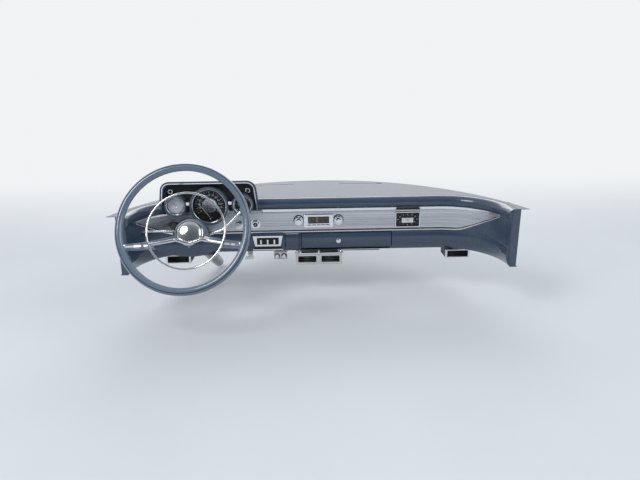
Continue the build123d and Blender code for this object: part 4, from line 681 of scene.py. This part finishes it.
# ---- Air outlets, their control and the brake pull ----
# Sheet steel in silver enamel, with black louvres. The side outlets are black with
# plated frames, and rubber hoses push on to their spigots.
silver_enamel = enamel("silver_enamel", "D8D9DB", "C8CACD", coat=0.3)
dress(silver_enamel, "air_centre", "air_control", "brake_pull")
dress(black_enamel, "air_centre_vanes", "air_left", "air_right")
dress(chrome_plate, "air_knobs")
centre_front, AIR_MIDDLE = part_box("air_centre")[0][1], -0.246
for side, name in ((-1, "left"), (1, "right")):
    framed("centre_outlet_frame_" + name, 84, 38, 5.5, -0.2, 2.6,
           seat((side * 0.047, centre_front, AIR_MIDDLE)), silver_enamel)
plate("centre_outlet_post", rounded(9, 38, 1.5), -0.2, 3.4,
      seat((0, centre_front, AIR_MIDDLE)), silver_enamel, edge=0.8)
plate("centre_outlet_bar", rounded(196, 5.5, 1.5), -10, 3, seat((0, centre_front, -0.2215)),
      chrome_plate, edge=0.8)
for k in (-1, 0, 1):
    plate(f"centre_outlet_upright_{k + 2}", rounded(6, 9, 1.2), -6, 0,
          seat((0.088 * k, centre_front, -0.2145)), chrome_plate, edge=0.6)
for name in ("air_left", "air_right"):
    low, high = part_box(name)
    outlet = seat(((low[0] + high[0]) / 2, low[1], low[2] + 0.017))
    framed(name + "_frame", 100.4, 34, 4.2, -0.2, 2.6, outlet, chrome_plate, ease=0.9)
    for number, x in ((1, -45.5), (2, 45.5)):
        plate(f"{name}_end_{number}", rounded(8, 33, 1.5), 0.4, 3.2,
              outlet @ Matrix.Translation((x, 0, 0)), chrome_plate, edge=1.2)
    for k in range(4):
        plate(f"{name}_vane_{k + 1}", rounded(82, 1.2, 0.5), -12, -2,
              outlet @ Matrix.Translation((0, 5.5 * (k - 1.5), 0)), black_enamel)
low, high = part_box("air_control")
framed("air_control_frame", 54.4, 24, 2.4, -0.2, 1.4,
       seat(((low[0] + high[0]) / 2, low[1], low[2] + 0.012)), chrome_plate)
control_front = low[1]
low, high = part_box("air_knobs")
radius, middle_z = (high[2] - low[2]) / 2, (high[2] + low[2]) / 2
for name, x in (("left", low[0] + radius), ("right", high[0] - radius)):
    r = radius * 1000
    turned("air_knob_ring_" + name,
           [(r - 2, 0.1), (r + 2.2, 0.1), (r + 2.2, 1), (r + 1.8, 1.4), (r - 2, 1.4),
            (r - 2, 0.1)],
           seat((x, control_front, middle_z)), black_print_and_shade, count=40)
# A plated strip under the glove door is a painted highlight: it stands for the light caught along
# the dash's lower edge.
plate("lower_edge_painted_highlight", rounded(160, 3, 1.2), -4, 4,
      seat((0.165, front(0.165, -0.19, "dash_face", "glove_door"), -0.2075)), chrome_plate,
      edge=0.8)

# ---- Column, shift lever and turn signal ----
# Drawn steel tube in the dash's enamel, with die-cast collars. The levers are steel rod
# under chrome plate, with knobs on their ends, and the shaft is bare machined steel.

# The lathe's cuts run round the shaft, so its streaks are short along x.
machined_steel = brushed("machined_steel", "B9BBBE", "8E9196", (0.6667, 16.67, 16.67))
dress(slate_enamel, "column_jacket", "signal_housing")
dress(chrome_plate, "shift_lever", "signal_lever")
dress(machined_steel, "steering_shaft")
LEAN = math.radians(28)         # the column's axis leans back by this much
WHEEL = seat((-0.4605, -0.631904, -0.0195), out=(0, -math.cos(LEAN), math.sin(LEAN)))
turned("shift_collar_shell",
       [(25, -180.5), (33.4, -180.5), (34, -183), (34, -205), (32.6, -211.6), (25, -211.6),
        (25, -180.5)], WHEEL, slate_enamel, body="shift", count=96)
turned("shift_collar_ring",
       [(33.6, -183.4), (35.2, -184.4), (35.6, -187), (35.2, -189.6), (33.6, -190.6),
        (33.6, -183.4)], WHEEL, chrome_plate, body="shift", count=96)
turned("signal_housing_seam",
       [(60.6, -147.2), (61.5, -147.6), (61.5, -149), (60.6, -149.4), (60.6, -147.2)],
       WHEEL, black_print_and_shade, count=96)

# ---- Steering wheel ----
# Hard rubber moulded over a steel ring and painted in glossy blue-grey. The rim has a groove
# round its front and finger grips at its back. A black wire laid in the groove is painted shade,
# drawing it as a dark line.
wheel_enamel = enamel("enamelled_hard_rubber", "64758A", "586A7E", coat=1.0, dusty=0.02)
dress(wheel_enamel, "steering_wheel")
RIM, TUBE = 213, 13.3           # radius of the rim, and of its tube
GROOVE_AT = 24                  # place of the groove, in degrees from the front of the tube
GRIPS = 80


def tube_radius(turn, a):
    """Radius of the rim's tube at one place along it and one place round it."""
    groove = math.exp(-((math.degrees(a) - GROOVE_AT) / 5.5) ** 2)
    back = max(0.0, -math.cos(a)) ** 0.6
    grip = 0.5 - 0.5 * math.cos(GRIPS * turn)
    return TUBE - 0.75 * groove - 0.7 * back * grip ** 2


rings = []
for k in range(12 * GRIPS):
    turn = math.tau * k / (12 * GRIPS)
    ring = []
    for a in (-math.pi + math.tau * i / 48 for i in range(48)):
        thick = tube_radius(turn, a)
        out = RIM + thick * math.sin(a)
        ring.append((out * math.cos(turn), out * math.sin(turn), thick * math.cos(a)))
    rings.append(ring)
lofted("rim_grip", rings, WHEEL, wheel_enamel, body="steering", sharp=60, closed=True)
# The black wire in the groove is painted shade.
up, out = around(12.2, GROOVE_AT)
turned("rim_groove_painted_shade", bead(RIM + out, up, 1.5, sides=10), WHEEL, black_print_and_shade, body="steering",
       count=360)

# ---- Horn ring, bow, web, cap and hub ----
# A plated ring sounds the horn. A plated bow runs from spoke to spoke under the domed
# cap, with an enamelled web below it. Dark seams part the cap and the hub's two shells.
dress(chrome_plate, "horn_ring", "horn_cap", "spoke_bars")
# The bow's section, as shares of its half width and half thickness.
CROWNED = ((-1, -1), (-1, -0.2), (-0.8, 0.4), (-0.4, 0.85), (0, 1), (0.4, 0.85), (0.8, 0.4),
           (1, -0.2), (1, -1))
BEND = 43                       # it rises to here on both sides of the hub, and then falls
rings = []
for k in range(-52, 53):
    x = 2.4 * k
    past = max(0.0, abs(x) - BEND)
    y = -36 + 13.5 * min(1.0, abs(x) / BEND) ** 1.2 - 0.213 * past
    height, half, thick = -79.2 + 0.0019 * past ** 2, 7 - 0.022 * past, 8
    rings.append([(x, y + half * p, height + thick / 2 * q) for p, q in CROWNED])
lofted("horn_bow", rings, WHEEL, chrome_plate, body="steering")
REACH = 118                     # half the length of the web
rings = []
for k in range(-24, 25):
    x = 4.8 * k
    wide = max(0.0, 1 - (x / REACH) ** 2)
    top, low, lean = -30 - 0.07 * abs(x), -50 - 26 * wide ** 0.8, 8 + 32 * wide
    fore = -85 + 0.21 * max(0.0, abs(x) - 50)
    ring = []
    for up, back, places in ((0, 0, (0, 0.15, 0.35, 0.55, 0.75, 0.9, 1)),
                             (1.5, 4, (1, 0.75, 0.35, 0))):
        ring += [(x, top + (low - top) * t + up, fore - back - lean * t ** 2) for t in places]
    rings.append(ring)
lofted("spoke_web", rings, WHEEL, slate_enamel, body="steering")
dome = [(around(44.8, angle)[0], -90 + around(13.4, angle)[1]) for angle in range(0, 90, 5)]
turned("cap_dome", [(44.8, -93)] + dome + [(0, -76.6)], WHEEL, chrome_plate, body="steering",
       count=96)
turned("cap_groove", [(44.9, -89.4), (44.9, -87.6), (46.2, -87.2), (46.6, -88.4), (44.9, -89.4)],
       WHEEL, black_print_and_shade, body="steering", count=96)
turned("hub_seam",
       [(65.2, -125), (65.7, -126), (65.7, -128), (65.0, -129.4), (64.4, -127), (65.2, -125)],
       WHEEL, black_print_and_shade, body="steering", count=96)
for side, name in ((-1, "left"), (1, "right")):
    turned("spoke_button_" + name, [(0, 2), (4.6, 2), (4.6, 3.6), (3.2, 4.6), (0, 5)],
           WHEEL @ Matrix.Translation((side * 190, -57, 2)), chrome_plate, body="steering",
           count=32)

# ---- Floor ----
# Matt paper under the dash, which takes its shadow. Beyond the dash the paper fades into
# the backdrop, for the camera and for reflections.
BACKDROP = "F1F3F5"
SPREAD = 14                     # half of the paper's side
level = cad_box[0][2] - 0.004
floor_mesh = bpy.data.meshes.new("floor")
corners = ((-SPREAD, -SPREAD), (SPREAD, -SPREAD), (SPREAD, SPREAD), (-SPREAD, SPREAD))
floor_mesh.from_pydata([(x, y, level) for x, y in corners], [], [(0, 1, 2, 3)])
floor = bpy.data.objects.new("floor", floor_mesh)
bpy.context.scene.collection.objects.link(floor)


def seen_directly(tree):
    """1 for the rays that show the backdrop itself, 0 for those that bring its light."""
    rays = add(tree, "LightPath")
    camera, glossy, through = (rays.outputs[f"Is {kind} Ray"]
                               for kind in ("Camera", "Glossy", "Transmission"))
    direct = add(tree, "Math", {0: camera, 1: glossy}, operation="ADD")
    return add(tree, "Math", {0: direct, 1: through}, operation="ADD", use_clamp=True)


# The tone drifts over a third of a metre, as sheets of paper do where they overlap.
paper, tree, shader, place = begin("pale_paper", Roughness=0.9, Specular_IOR_Level=0.2)
drift = add(tree, "TexNoise", {"Vector": place, "Scale": per_metre(333.3), "Detail": 3})
add(tree, "Mix", {"Factor": drift, "A": linear("D3D6DA"), "B": linear("CDD0D5")},
    to=shader.inputs["Base Color"], data_type="RGBA")
away = add(tree, "SeparateXYZ", {"Vector": place})
fade = add(tree, "MapRange", {"Value": away.outputs["Y"], "From Min": 0.2, "From Max": 2.4},
           interpolation_type="SMOOTHSTEP")
own = add(tree, "Math", {0: fade, 1: seen_directly(tree)}, operation="MULTIPLY")
glow = add(tree, "Emission", {"Color": linear(BACKDROP), "Strength": 1.0})
add(tree, "MixShader", {"Fac": own, 1: shader.outputs["BSDF"], 2: glow},
    to=tree.nodes["Material Output"].inputs["Surface"])
floor_mesh.materials.append(paper)

# ---- Backdrop and sky ----
# A soft room of light: the backdrop's colour ahead, darker behind the camera so that
# chrome has something to show, and a little dimmer overhead.
world = bpy.data.worlds.new("studio")
bpy.context.scene.world = world
world.use_nodes = True
tree = world.node_tree
sky = tree.nodes["Background"]
toward = add(tree, "SeparateXYZ", {"Vector": add(tree, "TexCoord").outputs["Generated"]})
ahead = add(tree, "MapRange", {"Value": toward.outputs["Y"], "From Min": -1.0})
wall = add(tree, "ValToRGB", {"Fac": ahead})
roof = add(tree, "ValToRGB", {"Fac": toward.outputs["Z"]})
for ramp, stops in ((wall, ((0.0, "4E545C"), (0.3, "A4A9AF"), (0.5, BACKDROP))),
                    (roof, ((0.3, "FFFFFF"), (0.62, "D5D8DC")))):
    for k, (at, code) in enumerate(stops):
        elements = ramp.color_ramp.elements
        mark = elements[k] if k < 2 else elements.new(at)
        mark.position = at
        mark.color = linear(code)
add(tree, "Mix", {"Factor": 1.0, "A": wall, "B": roof}, to=sky.inputs["Color"],
    data_type="RGBA", blend_type="MULTIPLY")
add(tree, "MapRange", {"Value": seen_directly(tree), "To Min": 1.15, "To Max": 1.0},
    to=sky.inputs["Strength"])

# ---- Lamps ----
# A key from the upper left, a weak fill from the right, and a wide lamp ahead that draws
# a long highlight on the shelf and the roll. All are large and round, so shadows are soft.
AIM = Vector((0, -0.4, -0.1))
for name, at, size, radiance in (("key", (-2.6, -3.0, 3.2), (2.0, 2.0), 7.6),
                                 ("fill", (3.2, -2.4, 2.4), (3.0, 3.0), 2.0),
                                 ("ahead", (0.0, 3.4, 2.5), (5.0, 1.6), 2.6)):
    lamp = bpy.data.lights.new(name, "AREA")
    lamp.shape = "ELLIPSE"
    lamp.size, lamp.size_y = size
    lamp.energy = math.pi * size[0] * size[1] * radiance
    held = bpy.data.objects.new(name, lamp)
    held.location = at
    held.rotation_euler = (AIM - Vector(at)).to_track_quat("-Z", "Y").to_euler()
    bpy.context.scene.collection.objects.link(held)

# ---- Camera ----
# It stands where the photograph was taken, behind and above the wheel, and looks ahead
# and down over the whole dash.
YAW, PITCH, ROLL = math.radians(1.75), math.radians(17.1), math.radians(-0.65)
lens = bpy.data.cameras.new("camera")
lens.lens = 29.98
lens.sensor_width = 36
lens.clip_start = 0.05
camera = bpy.data.objects.new("camera", lens)
camera.matrix_world = (
    Matrix.Translation((-0.057, -2.358, 0.461)) @ Matrix.Rotation(-YAW, 4, "Z")
    @ Matrix.Rotation(math.pi / 2 - PITCH, 4, "X") @ Matrix.Rotation(ROLL, 4, "Z"))
bpy.context.scene.collection.objects.link(camera)
bpy.context.scene.camera = camera
bpy.context.scene.view_settings.view_transform = "Standard"
